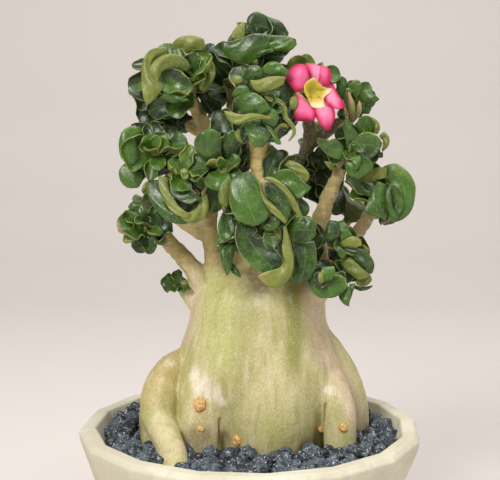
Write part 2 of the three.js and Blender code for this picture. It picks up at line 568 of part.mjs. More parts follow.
// How far the body reaches from its middle at a height, in a direction: to its oval, or to the far
// side of the swelling that stands out furthest there
function bodyReach(oval, direction) {
  const { x, y, z, rx, ry } = oval;
  let reach = 1 / Math.hypot(direction.x / rx, direction.y / ry);
  for (const stations of Object.values(SWELLINGS)) {
    const i = stations.findIndex((s, k) => k > 0 && s[2] <= z && stations[k - 1][2] >= z);
    if (i < 1) continue;
    const [above, below] = [stations[i - 1], stations[i]];
    const t = (above[2] - z) / (above[2] - below[2]);
    const off = vec(lerp(above[0], below[0], t) - x, lerp(above[1], below[1], t) - y, 0);
    const radius = lerp(above[3], below[3], t);
    const along = off.dot(direction);
    const beside = off.addScaledVector(direction, -along).length();
    if (along > 0 && beside < radius) {
      reach = Math.max(reach, along + Math.sqrt(radius ** 2 - beside ** 2));
    }
  }
  return reach;
}

function bodySolid(extra) {
  const rings = BODY_OVALS.map((oval) =>
    Array.from({ length: BODY_SIDES }, (_, i) => {
      const direction = vec(Math.cos((i / BODY_SIDES) * TAU), Math.sin((i / BODY_SIDES) * TAU), 0);
      const reach = bodyReach(oval, direction) + extra;
      return vec(oval.x, oval.y, oval.z).addScaledVector(direction, reach);
    }),
  );
  const [low, high] = [BODY_OVALS[0], BODY_OVALS.at(-1)];
  return skinOfRings(
    vec(low.x, low.y, low.z - BODY_CAP - extra),
    rings,
    vec(high.x, high.y, high.z + BODY_CAP + extra),
  );
}

// A tapering limb through its stations, with flat ends
function limbSolid(stations, extra, sides) {
  const places = stations.map(([x, y, z]) => vec(x, y, z));
  const directions = places.map((p, i) => {
    const before = places[Math.max(i - 1, 0)];
    const after = places[Math.min(i + 1, places.length - 1)];
    return after.clone().sub(before).normalize();
  });
  const reference = Math.abs(directions[0].y) > 0.8 ? vec(0, 0, 1) : vec(0, 1, 0);
  let across = reference.clone().cross(directions[0]).normalize();
  places[0].addScaledVector(directions[0], -extra);
  places.at(-1).addScaledVector(directions.at(-1), extra);
  const rings = places.map((place, i) => {
    across = across.addScaledVector(directions[i], -across.dot(directions[i])).normalize();
    const up = directions[i].clone().cross(across);
    const radius = stations[i][3] + extra;
    return Array.from({ length: sides }, (_, j) => {
      const angle = (j / sides) * TAU;
      return place
        .clone()
        .addScaledVector(across, radius * Math.cos(angle))
        .addScaledVector(up, radius * Math.sin(angle));
    });
  });
  return skinOfRings(places[0], rings, places.at(-1));
}

function trunkSolid(extra) {
  const legs = Object.values(LEGS).map((stations) => limbSolid(stations, extra, LEG_SIDES));
  const branches = Object.values(BRANCHES).map((stations) => limbSolid(stations, extra, BRANCH_SIDES));
  return joined([bodySolid(extra), ...legs, ...branches]);
}

// Leaves. A blade's midrib is an arc that starts at base, runs along and bends away from the side
// that the blade faces. cup folds its sides up, or down if negative.

function bladePoint(blade, s, v, lift, extra) {
  const { base, along, face, length, width, curl, cup, thickness } = blade;
  const bend = Math.abs(curl) < 1e-3 ? 1e-3 : curl;
  const turned = bend * s;
  const reach = (length + extra) / bend;
  const point = base
    .clone()
    .addScaledVector(along, reach * Math.sin(turned))
    .addScaledVector(face, -reach * (1 - Math.cos(turned)));
  const normal = face.clone().multiplyScalar(Math.cos(turned)).addScaledVector(along, Math.sin(turned));
  const tangent = along.clone().multiplyScalar(Math.cos(turned)).addScaledVector(face, -Math.sin(turned));
  const side = tangent.clone().cross(normal);
  const half = (width / 2) * bladeOutline(s) + extra * Math.sin(Math.PI * s);
  const arc = Math.abs(cup) < 1e-3 ? 1e-3 : cup * (0.4 + 0.6 * s);
  point.addScaledVector(side, (half * Math.sin(arc * v)) / arc);
  point.addScaledVector(normal, (half * (1 - Math.cos(arc * v))) / arc);
  const plump = Math.sqrt(Math.max(0, 1 - v * v)) * Math.sin(Math.PI * s) ** PLUMP;
  const outward = normal.multiplyScalar(Math.cos(arc * v)).addScaledVector(side, -Math.sin(arc * v));
  return { point, offset: outward.multiplyScalar(lift * (thickness / 2 + extra) * plump) };
}

// Narrow at the stalk, widest past the middle, round at the tip
function bladeOutline(s) {
  return Math.sin(Math.PI * s ** EARLY) ** BLUNT;
}

function bladeSolid(blade, bent, extra) {
  const rows = blade.width > NARROW_LEAF ? 4 : 3;
  const columns = blade.width > BROAD_LEAF ? 4 : 2;
  const at = (s, v, lift) => {
    const { point, offset } = bladePoint(blade, s, v, lift, extra);
    return bent(point, s).add(offset);
  };
  const rings = [];
  for (let k = 1; k < rows; k++) {
    const s = k / rows;
    const upper = [];
    const lower = [];
    for (let j = 1; j < columns; j++) {
      const v = (2 * j) / columns - 1;
      upper.push(at(s, v, 1));
      lower.unshift(at(s, v, -1));
    }
    rings.push([at(s, -1, 0), ...upper, at(s, 1, 0), ...lower]);
  }
  const sides = 2 * columns;
  const points = [at(0, 0, 0), ...rings.flat(), at(1, 0, 0)];
  const triangles = [];
  const index = (ring, i) => 1 + ring * sides + (i % sides);
  for (let i = 0; i < sides; i++) {
    triangles.push([0, index(0, i + 1), index(0, i)]);
    for (let ring = 0; ring + 1 < rings.length; ring++) {
      const [a, b] = [index(ring, i), index(ring, i + 1)];
      const [c, d] = [index(ring + 1, i + 1), index(ring + 1, i)];
      // both faces are split along the same diagonal of the blade
      if (i < columns) triangles.push([a, b, c], [a, c, d]);
      else triangles.push([a, b, d], [b, c, d]);
    }
    triangles.push([points.length - 1, index(rows - 2, i), index(rows - 2, i + 1)]);
  }
  return solidFrom(points, triangles);
}

// A blade from its stalk end to its tip, with the way its upper side faces halfway along
function bladeBetween(from, to, facing, width, curl, cup, thickness) {
  const chord = to.clone().sub(from);
  const span = chord.length();
  chord.normalize();
  const mid = facing.clone().addScaledVector(chord, -facing.dot(chord)).normalize();
  const half = curl / 2;
  return {
    base: from,
    along: chord.clone().multiplyScalar(Math.cos(half)).addScaledVector(mid, Math.sin(half)),
    face: mid.clone().multiplyScalar(Math.cos(half)).addScaledVector(chord, -Math.sin(half)),
    length: Math.abs(half) < 1e-3 ? span : (span * half) / Math.sin(half),
    width,
    curl,
    cup,
    thickness,
  };
}

function listedLeaves(name, shoots) {
  return LEAVES[name].map(([x, y, z, tx, ty, tz, fx, fy, fz, width, curl, cup]) => {
    const from = nearestOn(shoots, vec(x, y, z));
    return bladeBetween(from, vec(tx, ty, tz), vec(fx, fy, fz), width, curl, cup, LEAF_THICKNESS);
  });
}

// Leaves round a shoot by the golden angle: the outer ones long, leaning out and bent back, the inner
// ones short, upright and cupped
function rosette({ base, axis, radius, seed }) {
  const u = vec(0, 0, 1).cross(axis).normalize();
  const w = axis.clone().cross(u);
  return Array.from({ length: REAR_LEAF_COUNT }, (_, i) => {
    const inner = i / (REAR_LEAF_COUNT - 1);
    const jitter = (k) => draw(seed + i, k) - 0.5;
    const azimuth = i * GOLDEN_ANGLE + seed;
    const lean = lerp(...LEAN, inner) + 0.5 * jitter(1);
    const outward = u.clone().multiplyScalar(Math.cos(azimuth)).addScaledVector(w, Math.sin(azimuth));
    const along = axis.clone().multiplyScalar(Math.cos(lean)).addScaledVector(outward, Math.sin(lean));
    const face = axis.clone().multiplyScalar(Math.sin(lean)).addScaledVector(outward, -Math.cos(lean));
    const length = radius * lerp(...LENGTH, inner) * (1 + 0.2 * jitter(2));
    const from = base.clone().addScaledVector(axis, lerp(...STALK_PLACE, inner) * radius);
    const to = from.clone().addScaledVector(along, length);
    const width = length * REAR_LEAF_WIDTH * (1 + 0.2 * jitter(3));
    const curl = lerp(...BEND, inner) + 0.8 * jitter(4);
    return bladeBetween(from, to, face, width, curl, lerp(...FOLD, inner), LEAF_THICKNESS);
  });
}

// Pushes a point of a blade out of the branches, all but the stalk end
const limbs = Object.values(BRANCHES).flatMap((stations) =>
  stations.slice(1).map((end, i) => ({
    line: new THREE.Line3(vec(...stations[i].slice(0, 3)), vec(...end.slice(0, 3))),
    from: stations[i][3],
    to: end[3],
  })),
);
function clearOfBranches(point, s) {
  const moved = point.clone();
  const share = THREE.MathUtils.smoothstep(s, CLEAR_FROM, CLEAR_AFTER);
  for (const { line, from, to } of limbs) {
    const t = line.closestPointToPointParameter(moved, true);
    const nearest = line.at(t, vec(0, 0, 0));
    const missing = lerp(from, to, t) + BRANCH_MARGIN - moved.distanceTo(nearest);
    if (missing > 0) moved.addScaledVector(moved.clone().sub(nearest).normalize(), share * missing);
  }
  return moved;
}

// A head: its shoots and its leaves. The main shoot swells where the leaves stand, and each leaf is
// rooted in the middle of a shoot.
function headSolid({ shoots, leaves }, extra) {
  const [main, ...sides] = shoots;
  const [before, end] = main.slice(-2);
  const tip = end.clone().addScaledVector(end.clone().sub(before).normalize(), SHOOT_TIP.length);
  const stations = main.map((p, i) => [...p, i > 0 ? CROWN_RADIUS : SHOOT_RADIUS]);
  stations.push([...tip, SHOOT_TIP.radius]);
  const sideStations = sides.map((path) => path.map((p) => [...p, SIDE_SHOOT_RADIUS]));
  const stalks = [stations, ...sideStations].map((path) => limbSolid(path, extra, BRANCH_SIDES));
  const blades = leaves.map((leaf) => bladeSolid(leaf, clearOfBranches, extra));
  return joined([...stalks, ...blades]);
}

function nearestOn(paths, point) {
  const spots = paths.flatMap((path) =>
    path
      .slice(1)
      .map((end, i) => new THREE.Line3(path[i], end).closestPointToPoint(point, true, vec(0, 0, 0))),
  );
  return spots.reduce((a, b) => (a.distanceTo(point) < b.distanceTo(point) ? a : b));
}

const heads = Object.entries(SHOOTS).map(([name, main]) => {
  const shoots = [main, ...(SIDE_SHOOTS[name] ?? [])].map((path) => path.map((p) => vec(...p)));
  return { name, shoots, leaves: listedLeaves(name, shoots) };
});
for (const { name, base, axis, radius, seed } of REAR_HEADS) {
  const [start, way] = [vec(...base), vec(...axis).normalize()];
  heads.push({
    name,
    shoots: [[start, start.clone().addScaledVector(way, REAR_SHOOT * radius)]],
    leaves: rosette({ base: start, axis: way, radius, seed }),
  });
}

// Bloom

const throatCentre = vec(...THROAT);
const bloomFacing = throatCentre.clone().sub(vec(...TUBE_END)).normalize();

function petalsSolid(extra) {
  const blades = PETALS.map(({ tip, width, bend }) => {
    const from = throatCentre.clone().addScaledVector(bloomFacing, -PETAL_ROOT);
    return bladeBetween(from, vec(...tip), bloomFacing, width, bend, PETAL_CUP, PETAL_THICKNESS);
  });
  const [narrow, wide] = TUBE_RADII;
  const tube = limbSolid([[...TUBE_END, narrow], [...THROAT, wide]], extra, TUBE_SIDES);
  return joined([tube, ...blades.map((blade) => bladeSolid(blade, (p) => p, extra))]);
}

// The throat's star lies in the mouth of the tube
function throatSolid() {
  const { points, waist, back, front } = THROAT_STAR;
  const ring = ([radius, depth]) => {
    const u = vec(0, 0, 1).cross(bloomFacing).normalize();
    const w = bloomFacing.clone().cross(u);
    return Array.from({ length: 2 * points }, (_, i) => {
      const reach = i % 2 ? radius * waist : radius;
      const angle = (i / (2 * points)) * TAU;
      return throatCentre
        .clone()
        .addScaledVector(bloomFacing, depth)
        .addScaledVector(u, reach * Math.cos(angle))
        .addScaledVector(w, reach * Math.sin(angle));
    });
  };
  const middle = (depth) => throatCentre.clone().addScaledVector(bloomFacing, depth);
  return skinOfRings(middle(-back), THROAT_RIMS.map(ring), middle(front));
}

const group = new THREE.Group();
group.add(meshOf("pot", potSolid(), "pot"));

// each shoot starts a gap past the flat end of its branch
const grownHeads = heads.map((head) => ({
  name: head.name,
  solid: headSolid(head, 0),
  wide: headSolid(head, GAP),
}));
const trunkAndGap = trunkSolid(GAP);
group.add(meshOf("trunk", trunkSolid(0), "bark"));

const soil = potInside(POT_FLOOR + GAP, SOIL_TOP, GAP).subtract(trunkAndGap);
group.add(meshOf("soil", largestBody(soil), "soil"));
group.add(meshOf("gravel", largestBody(gravelSolid().subtract(trunkAndGap)), "gravel"));

const placed = [];
function place(name, solid, wide, finish) {
  const free = placed.reduce((left, other) => left.subtract(other), solid.subtract(trunkAndGap));
  group.add(meshOf(name, largestBody(free), finish));
  placed.push(wide);
}
place("flower_petals", petalsSolid(0), petalsSolid(GAP), "petal");
place("flower_throat", throatSolid(), throatSolid(), "throat");
const stalk = (extra) => limbSolid(CALYX_STALK, extra, STALK_SIDES);
place("flower_calyx", stalk(0), stalk(GAP), "stalk");
const buds = (extra) => joined(BUDS.map((stations) => limbSolid(stations, extra, BRANCH_SIDES)));
place("buds", buds(0), buds(GAP), "bud");
for (const { name, solid, wide } of grownHeads) place(name, solid, wide, "leaf");

export default group;
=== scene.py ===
# %% [markdown]
# # A potted desert rose
# The plant is a small swollen trunk that splits into stubby branches. Each branch ends in a head of
# thick curled leaves, and one pink bloom stands at the top right. The pot is a cast sixteen-sided
# bowl filled with black lava gravel.
# Every size is in millimetres until a mesh is made, and meshes are in metres in the frame of the
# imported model: +Z up, the front towards -Y, the origin under the middle of the pot.

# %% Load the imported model
import math

import bpy
import numpy as np
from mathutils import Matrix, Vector, noise


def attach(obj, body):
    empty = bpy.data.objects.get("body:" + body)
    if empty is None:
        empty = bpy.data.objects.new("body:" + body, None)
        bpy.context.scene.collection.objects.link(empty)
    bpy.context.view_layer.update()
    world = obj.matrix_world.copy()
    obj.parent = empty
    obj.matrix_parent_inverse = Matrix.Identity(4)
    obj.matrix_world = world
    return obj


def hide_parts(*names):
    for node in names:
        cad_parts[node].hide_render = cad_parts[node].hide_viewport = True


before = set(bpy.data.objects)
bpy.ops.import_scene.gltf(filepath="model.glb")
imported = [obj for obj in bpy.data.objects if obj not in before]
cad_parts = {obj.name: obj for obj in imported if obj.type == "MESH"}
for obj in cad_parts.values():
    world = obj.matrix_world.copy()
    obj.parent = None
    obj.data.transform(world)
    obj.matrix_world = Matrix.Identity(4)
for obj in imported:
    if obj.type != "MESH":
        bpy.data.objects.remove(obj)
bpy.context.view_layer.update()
print("nodes in the frame:", len(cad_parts))

# %% [markdown]
# ## Camera
# The photo was taken a little above the pot's rim, from about 0.9 m away. A lens of 81 mm on a 36 mm
# sensor gives the same view as the photo, which is 500 by 480 pixels. Making the camera first lets
# each later piece be looked at as soon as it exists.

# %% Camera
CAMERA_PLACE = (0, -0.9, 0.385)
CAMERA_PITCH = math.radians(7.2)

lens = bpy.data.cameras.new("photo_camera")
lens.lens = 81
lens.sensor_width = 36
camera = bpy.data.objects.new("photo_camera", lens)
camera.location = CAMERA_PLACE
camera.rotation_euler = (math.pi / 2 - CAMERA_PITCH, 0, 0)
bpy.context.scene.collection.objects.link(camera)
bpy.context.scene.camera = camera
print("camera at", CAMERA_PLACE)

# %% [markdown]
# ## Floor and light
# A photographer's paper sweep, flat in front and curved up behind, keeps the background plain. It is
# one strip of quads. Three large soft lights stand for a bright room: big lamps give wide, faint
# highlights on waxy leaves, and small ones would give hard dots. The plain Standard view keeps
# colours as strong as a phone camera does.

# %% Paper sweep
SWEEP_WIDTH = 6.0
SWEEP_PROFILE = [(-3.0, 0.0), (1.2, 0.0), (1.5, 0.04), (1.75, 0.16), (1.9, 0.36), (1.95, 0.7), (1.95, 4.0)]


def paper_sweep():
    points = [(x, y, z) for y, z in SWEEP_PROFILE for x in (-SWEEP_WIDTH / 2, SWEEP_WIDTH / 2)]
    faces = [(2 * i, 2 * i + 1, 2 * i + 3, 2 * i + 2) for i in range(len(SWEEP_PROFILE) - 1)]
    mesh = bpy.data.meshes.new("paper_sweep")
    mesh.from_pydata(points, [], faces)
    mesh.shade_smooth()
    sweep = bpy.data.objects.new("paper_sweep", mesh)
    bpy.context.scene.collection.objects.link(sweep)
    paper = bpy.data.materials.new("matt_paper")
    paper.use_nodes = True
    shader = paper.node_tree.nodes["Principled BSDF"]
    shader.inputs["Base Color"].default_value = (0.70, 0.655, 0.63, 1)
    shader.inputs["Roughness"].default_value = 0.9
    mesh.materials.append(paper)
    return sweep


paper_sweep()
print("sweep made")

# %% Lights
SOFT_LIGHTS = {
    "window": {"place": (-1.0, -1.6, 1.6), "size": 0.9, "power": 39, "colour": (1.0, 0.98, 0.95)},
    "ceiling": {"place": (0.4, -0.2, 2.3), "size": 1.6, "power": 37, "colour": (1.0, 0.99, 0.97)},
    "bounce": {"place": (1.6, -1.4, 0.9), "size": 1.8, "power": 9, "colour": (1.0, 0.95, 0.92)},
}
PLANT_MIDDLE = Vector((0, 0, 0.25))
ROOM_COLOUR = (0.88, 0.86, 0.83, 1)
ROOM_STRENGTH = 0.36

for name, plan in SOFT_LIGHTS.items():
    lamp = bpy.data.lights.new(name, "AREA")
    lamp.size = plan["size"]
    lamp.energy = plan["power"]
    lamp.color = plan["colour"]
    holder = bpy.data.objects.new(name, lamp)
    holder.location = plan["place"]
    aim = PLANT_MIDDLE - Vector(plan["place"])
    holder.rotation_euler = aim.to_track_quat("-Z", "Y").to_euler()
    bpy.context.scene.collection.objects.link(holder)

room = bpy.data.worlds.new("room")
room.use_nodes = True
sky = room.node_tree.nodes["Background"]
sky.inputs["Color"].default_value = ROOM_COLOUR
sky.inputs["Strength"].default_value = ROOM_STRENGTH
bpy.context.scene.world = room
bpy.context.scene.view_settings.view_transform = "Standard"
print("lights:", ", ".join(SOFT_LIGHTS))

# %% [markdown]
# ## Two helpers
# `make_piece` turns points in millimetres into a mesh object at the origin. `Finish` wraps a material
# so that a noise, a ramp or a mix is one short call. Patterns read Object coordinates, which here are
# the part's own metres, so they stay put on the piece.

# %% Mesh helper
MM = 0.001
made = []


def unit(v):
    v = np.asarray(v, float)
    return v / np.linalg.norm(v)


def make_piece(name, points, faces, values=None):
    """A mesh object from points in millimetres, with named numbers on its points."""
    mesh = bpy.data.meshes.new(name)
    mesh.from_pydata((np.asarray(points, float) * MM).tolist(), [], faces)
    mesh.shade_smooth()
    for label, numbers in (values or {}).items():
        column = mesh.attributes.new(label, "FLOAT", "POINT")
        column.data.foreach_set("value", np.asarray(numbers, np.float32))
    piece = bpy.data.objects.new(name, mesh)
    bpy.context.scene.collection.objects.link(piece)
    return piece


def settle(piece, nodes, finish):
    """Gives a finished piece its material, its body and the nodes that it stands for."""
    piece.data.materials.clear()
    piece.data.materials.append(finish)
    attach(piece, "root")
    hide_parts(*nodes)
    made.append(piece)
    print(f"{piece.name}: {len(piece.data.polygons)} faces for {', '.join(nodes)}")


# %% Material helper
class Finish:
    """A node material with short calls for the nodes that this scene uses."""

    def __init__(self, name, roughness=0.5):
        self.material = bpy.data.materials.new(name)
        self.material.use_nodes = True
        self.tree = self.material.node_tree
        self.shader = self.tree.nodes["Principled BSDF"]
        self.shader.inputs["Roughness"].default_value = roughness
        self.place = self.tree.nodes.new("ShaderNodeTexCoord").outputs["Object"]

    def feed(self, socket, value):
        """Gives a socket its value: a number, a colour, another node's output, or a named number's label."""
        if isinstance(value, str):
            value = self.number(value)
        if isinstance(value, bpy.types.NodeSocket):
            self.tree.links.new(value, socket)
        elif isinstance(value, tuple) and len(value) == 3 and socket.type == "RGBA":
            socket.default_value = (*value, 1)
        else:
            socket.default_value = value

    def number(self, label):
        node = self.tree.nodes.new("ShaderNodeAttribute")
        node.attribute_name = label
        return node.outputs["Fac"]

    def stretched(self, stretch):
        node = self.tree.nodes.new("ShaderNodeMapping")
        self.tree.links.new(self.place, node.inputs["Vector"])
        node.inputs["Scale"].default_value = stretch
        return node.outputs["Vector"]

    def cloud(self, size, detail=3.0, stretch=(1, 1, 1)):
        """Soft noise whose lumps are about size millimetres."""
        node = self.tree.nodes.new("ShaderNodeTexNoise")
        self.tree.links.new(self.stretched(stretch), node.inputs["Vector"])
        node.inputs["Scale"].default_value = 1 / (size * MM)
        node.inputs["Detail"].default_value = detail
        return node.outputs["Fac"]

    def cells(self, size):
        """Distance to the nearest of many scattered dots, size millimetres apart."""
        node = self.tree.nodes.new("ShaderNodeTexVoronoi")
        self.tree.links.new(self.place, node.inputs["Vector"])
        node.inputs["Scale"].default_value = 1 / (size * MM)
        return node.outputs["Distance"]

    def sums(self, operation, a, b=0.0):
        node = self.tree.nodes.new("ShaderNodeMath")
        node.operation = operation
        self.feed(node.inputs[0], a)
        self.feed(node.inputs[1], b)
        return node.outputs[0]

    def times(self, a, b):
        return self.sums("MULTIPLY", a, b)

    def band(self, value, low, high, start=0.0, end=1.0):
        """A smooth step from start to end as value goes from low to high."""
        node = self.tree.nodes.new("ShaderNodeMapRange")
        node.interpolation_type = "SMOOTHSTEP"
        self.feed(node.inputs["Value"], value)
        for label, number in zip(("From Min", "From Max", "To Min", "To Max"), (low, high, start, end)):
            node.inputs[label].default_value = number
        return node.outputs["Result"]

    def blend(self, share, a, b):
        node = self.tree.nodes.new("ShaderNodeMix")
        node.data_type = "RGBA"
        share_socket, a_socket, b_socket = (s for s in node.inputs if s.enabled)
        self.feed(share_socket, share)
        self.feed(a_socket, a)
        self.feed(b_socket, b)
        return next(s for s in node.outputs if s.enabled)

    def over(self, base, value, low, high, share, colour):
        """Lays a colour over base, up to that share of it as value goes from low to high."""
        return self.blend(self.band(value, low, high, 0, share), base, colour)

    def colour(self, value):
        self.feed(self.shader.inputs["Base Color"], value)

    def set(self, label, value):
        self.feed(self.shader.inputs[label], value)

    def relief(self, height, depth, strength=1.0):
        """Bumps up to depth millimetres high."""
        node = self.tree.nodes.new("ShaderNodeBump")
        self.tree.links.new(height, node.inputs["Height"])
        node.inputs["Distance"].default_value = depth * MM
        node.inputs["Strength"].default_value = strength
        self.tree.links.new(node.outputs["Normal"], self.shader.inputs["Normal"])


print("helpers ready")

# %% [markdown]
# ## The pot
# The real pot is cast ware, matt and sandy. Two rings of corners half a step apart give the long
# triangular facets, and a Bevel with hardened normals keeps each facet flat while its edge catches
# a little light, as a cast edge does. Rings of points are joined by one helper, which closes both
# ends, so the pot is one solid skin.

# %% Skin through rings
def ring_faces(rings, sides):
    """Quads between closed rings of points, and a fan to the first and the last point."""
    last = 1 + rings * sides
    faces = [(0, 1 + (i + 1) % sides, 1 + i) for i in range(sides)]
    for r in range(rings - 1):
        low = 1 + r * sides
        for i in range(sides):
            j = (i + 1) % sides
            faces.append((low + i, low + j, low + sides + j, low + sides + i))
    top = 1 + (rings - 1) * sides
    faces += [(top + i, top + (i + 1) % sides, last) for i in range(sides)]
    return faces


# %% Pot shape
POT_SIDES = 16
WALL_FOOT, WALL_WAIST, WALL_TOP = 4, 60, 110
POT_OUTSIDE = [
    (0, 89, 0), (WALL_FOOT, 92, 0), (WALL_WAIST, 121, 0.5), (WALL_TOP, 139, 0), (116, 140, 0), (120, 136, 0),
]
POT_INSIDE = [(120, 126), (114, 123.6), (60, 101.6), (12, 82)]
FOOT_RECESS = [(74, 0), (72.5, 3)]
EDGE_ROUNDING = 1.6


def polygon(height, radius, turn, sides=POT_SIDES):
    angles = [(i + turn + 0.25) / sides * math.tau for i in range(sides)]
    return [(radius * math.cos(a), radius * math.sin(a), height) for a in angles]


def pot_points():
    rings = [polygon(height, radius, 0) for radius, height in reversed(FOOT_RECESS)]
    rings += [polygon(*ring) for ring in POT_OUTSIDE]
    rings += [polygon(height, radius, 0) for height, radius in POT_INSIDE]
    points = [(0, 0, FOOT_RECESS[-1][1])] + [p for ring in rings for p in ring] + [(0, 0, POT_INSIDE[-1][0])]
    return points, ring_faces(len(rings), POT_SIDES)


def split_facets(points, faces):
    """Cuts the quads of the faceted wall along the diagonal that folds outwards."""
    cut = []
    for face in faces:
        heights = {points[i][2] for i in face}
        if heights == {WALL_FOOT, WALL_WAIST}:
            cut += [(face[0], face[1], face[3]), face[1:]]
        elif heights == {WALL_WAIST, WALL_TOP}:
            cut += [face[:3], (face[0], *face[2:])]
        else:
            cut.append(face)
    return cut


pot_corners, pot_faces = pot_points()
pot = make_piece("faceted_pot", pot_corners, split_facets(pot_corners, pot_faces))
bevel = pot.modifiers.new("cast_edges", "BEVEL")
bevel.width = EDGE_ROUNDING * MM
bevel.segments = 3
bevel.limit_method = "ANGLE"
bevel.angle_limit = math.radians(4)
bevel.harden_normals = True
print("pot corners:", len(pot_corners))

# %% [markdown]
# Cast ware looks sandy up close: pale cream with a greenish cast, finer specks, tiny pits, and a
# slightly darker foot. Each of these is one noise at its own size.

# %% Pot finish
sandy = Finish("sandy_cast_ware", roughness=0.82)
height = sandy.tree.nodes.new("ShaderNodeSeparateXYZ")
sandy.tree.links.new(sandy.place, height.inputs[0])
body = sandy.blend(sandy.band(sandy.cloud(45), 0.35, 0.65), (0.58, 0.545, 0.42), (0.68, 0.65, 0.52))
body = sandy.over(body, sandy.cloud(6), 0.5, 0.8, 0.5, (0.48, 0.45, 0.31))
body = sandy.over(body, sandy.cloud(1.1), 0.58, 0.75, 0.35, (0.82, 0.79, 0.66))
body = sandy.blend(sandy.band(height.outputs["Z"], 0.0, 0.05, 0.35, 0.0), body, (0.36, 0.34, 0.22))
sandy.colour(body)
sandy.relief(sandy.sums("ADD", sandy.cloud(1.4), sandy.times(sandy.cloud(9), 1.6)), 0.5, 0.6)
settle(pot, ["pot"], sandy.material)

# %% [markdown]
# ## Soil
# The soil only shows as dark gaps between stones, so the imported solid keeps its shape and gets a
# crumbly dark material.

# %% Soil finish
humus = Finish("dark_potting_mix", roughness=1.0)
humus.colour(humus.blend(humus.band(humus.cloud(3), 0.4, 0.6), (0.012, 0.009, 0.007), (0.05, 0.035, 0.025)))
humus.relief(humus.cloud(2), 1.0)
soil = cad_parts["soil"]
soil.data.materials.clear()
soil.data.materials.append(humus.material)
print("soil keeps its packed shape")

# %% [markdown]
# ## The trunk
# A swollen trunk with root legs and branches is a pile of round forms that melt into each other.
# Each limb is a smooth tube through a few stations of place and radius. The tubes overlap, a voxel
# Remesh turns the pile into one skin, and a Smooth takes the creases out, as growth does. The same
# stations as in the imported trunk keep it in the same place.

# %% Trunk stations
BODY_OVALS = [
    (88, 10, 8, 54, 38), (116, 10, 6, 64, 44), (134, 10, 5, 69, 49), (152, 10, 4, 71, 53),
    (170, 9, 3, 69, 53), (188, 7, 2, 62, 50), (206, 6.5, 2, 56, 46), (228, 7, 2, 53, 41),
    (247, 9, 4, 35, 26),
]
SWELLINGS = {
    "elbow": [
        (-58, 2, 168, 8), (-71, -2, 152, 13), (-77, -7, 134, 13), (-77, -17, 118, 12), (-75, -22, 106, 12),
        (-73, -22, 84, 10),
    ],
    "left_lobe": [
        (-30, -8, 186, 20), (-36, -16, 160, 21), (-39, -25, 136, 19), (-40, -29, 114, 17.5),
        (-40, -29, 84, 15),
    ],
    "middle_lobe": [
        (16, -2, 200, 40), (17, -9, 168, 42), (17, -14, 138, 41), (16, -15, 112, 37), (16, -13, 84, 30),
    ],
    "right_side": [
        (50, 2, 198, 12), (62, 4, 174, 17), (72, 6, 154, 19), (78, 8, 134, 18), (80, 10, 84, 14),
    ],
    "back_left": [(-34, 30, 172, 16), (-54, 46, 146, 15), (-66, 56, 118, 12), (-72, 60, 84, 10)],
    "back_right": [(40, 34, 172, 18), (54, 54, 144, 15), (62, 64, 116, 12), (66, 68, 84, 10)],
    "back_middle": [(2, 40, 170, 18), (-2, 56, 142, 15), (-6, 66, 116, 12), (-8, 70, 84, 10)],
}
LEGS = {
    "arm": [
        (-46, -2, 178, 9), (-59, -8, 170, 11.5), (-69, -17, 160, 13), (-73, -26, 148, 14.5),
        (-73, -34, 134, 13.5), (-66, -48, 123, 12), (-59.5, -66, 113, 11), (-56, -82, 103, 10.5),
        (-55, -91, 86, 10),
    ],
    "right_front": [
        (56, -10, 172, 11), (65, -21, 158, 13), (70, -30, 142, 13.5), (71, -34, 122, 13),
        (71, -35, 104, 12.5), (70, -35, 86, 11),
    ],
    "right_back": [
        (66, 8, 170, 10), (78, 10, 154, 12), (85, 12, 138, 12), (89, 14, 118, 10.5), (91, 15, 86, 9),
    ],
}
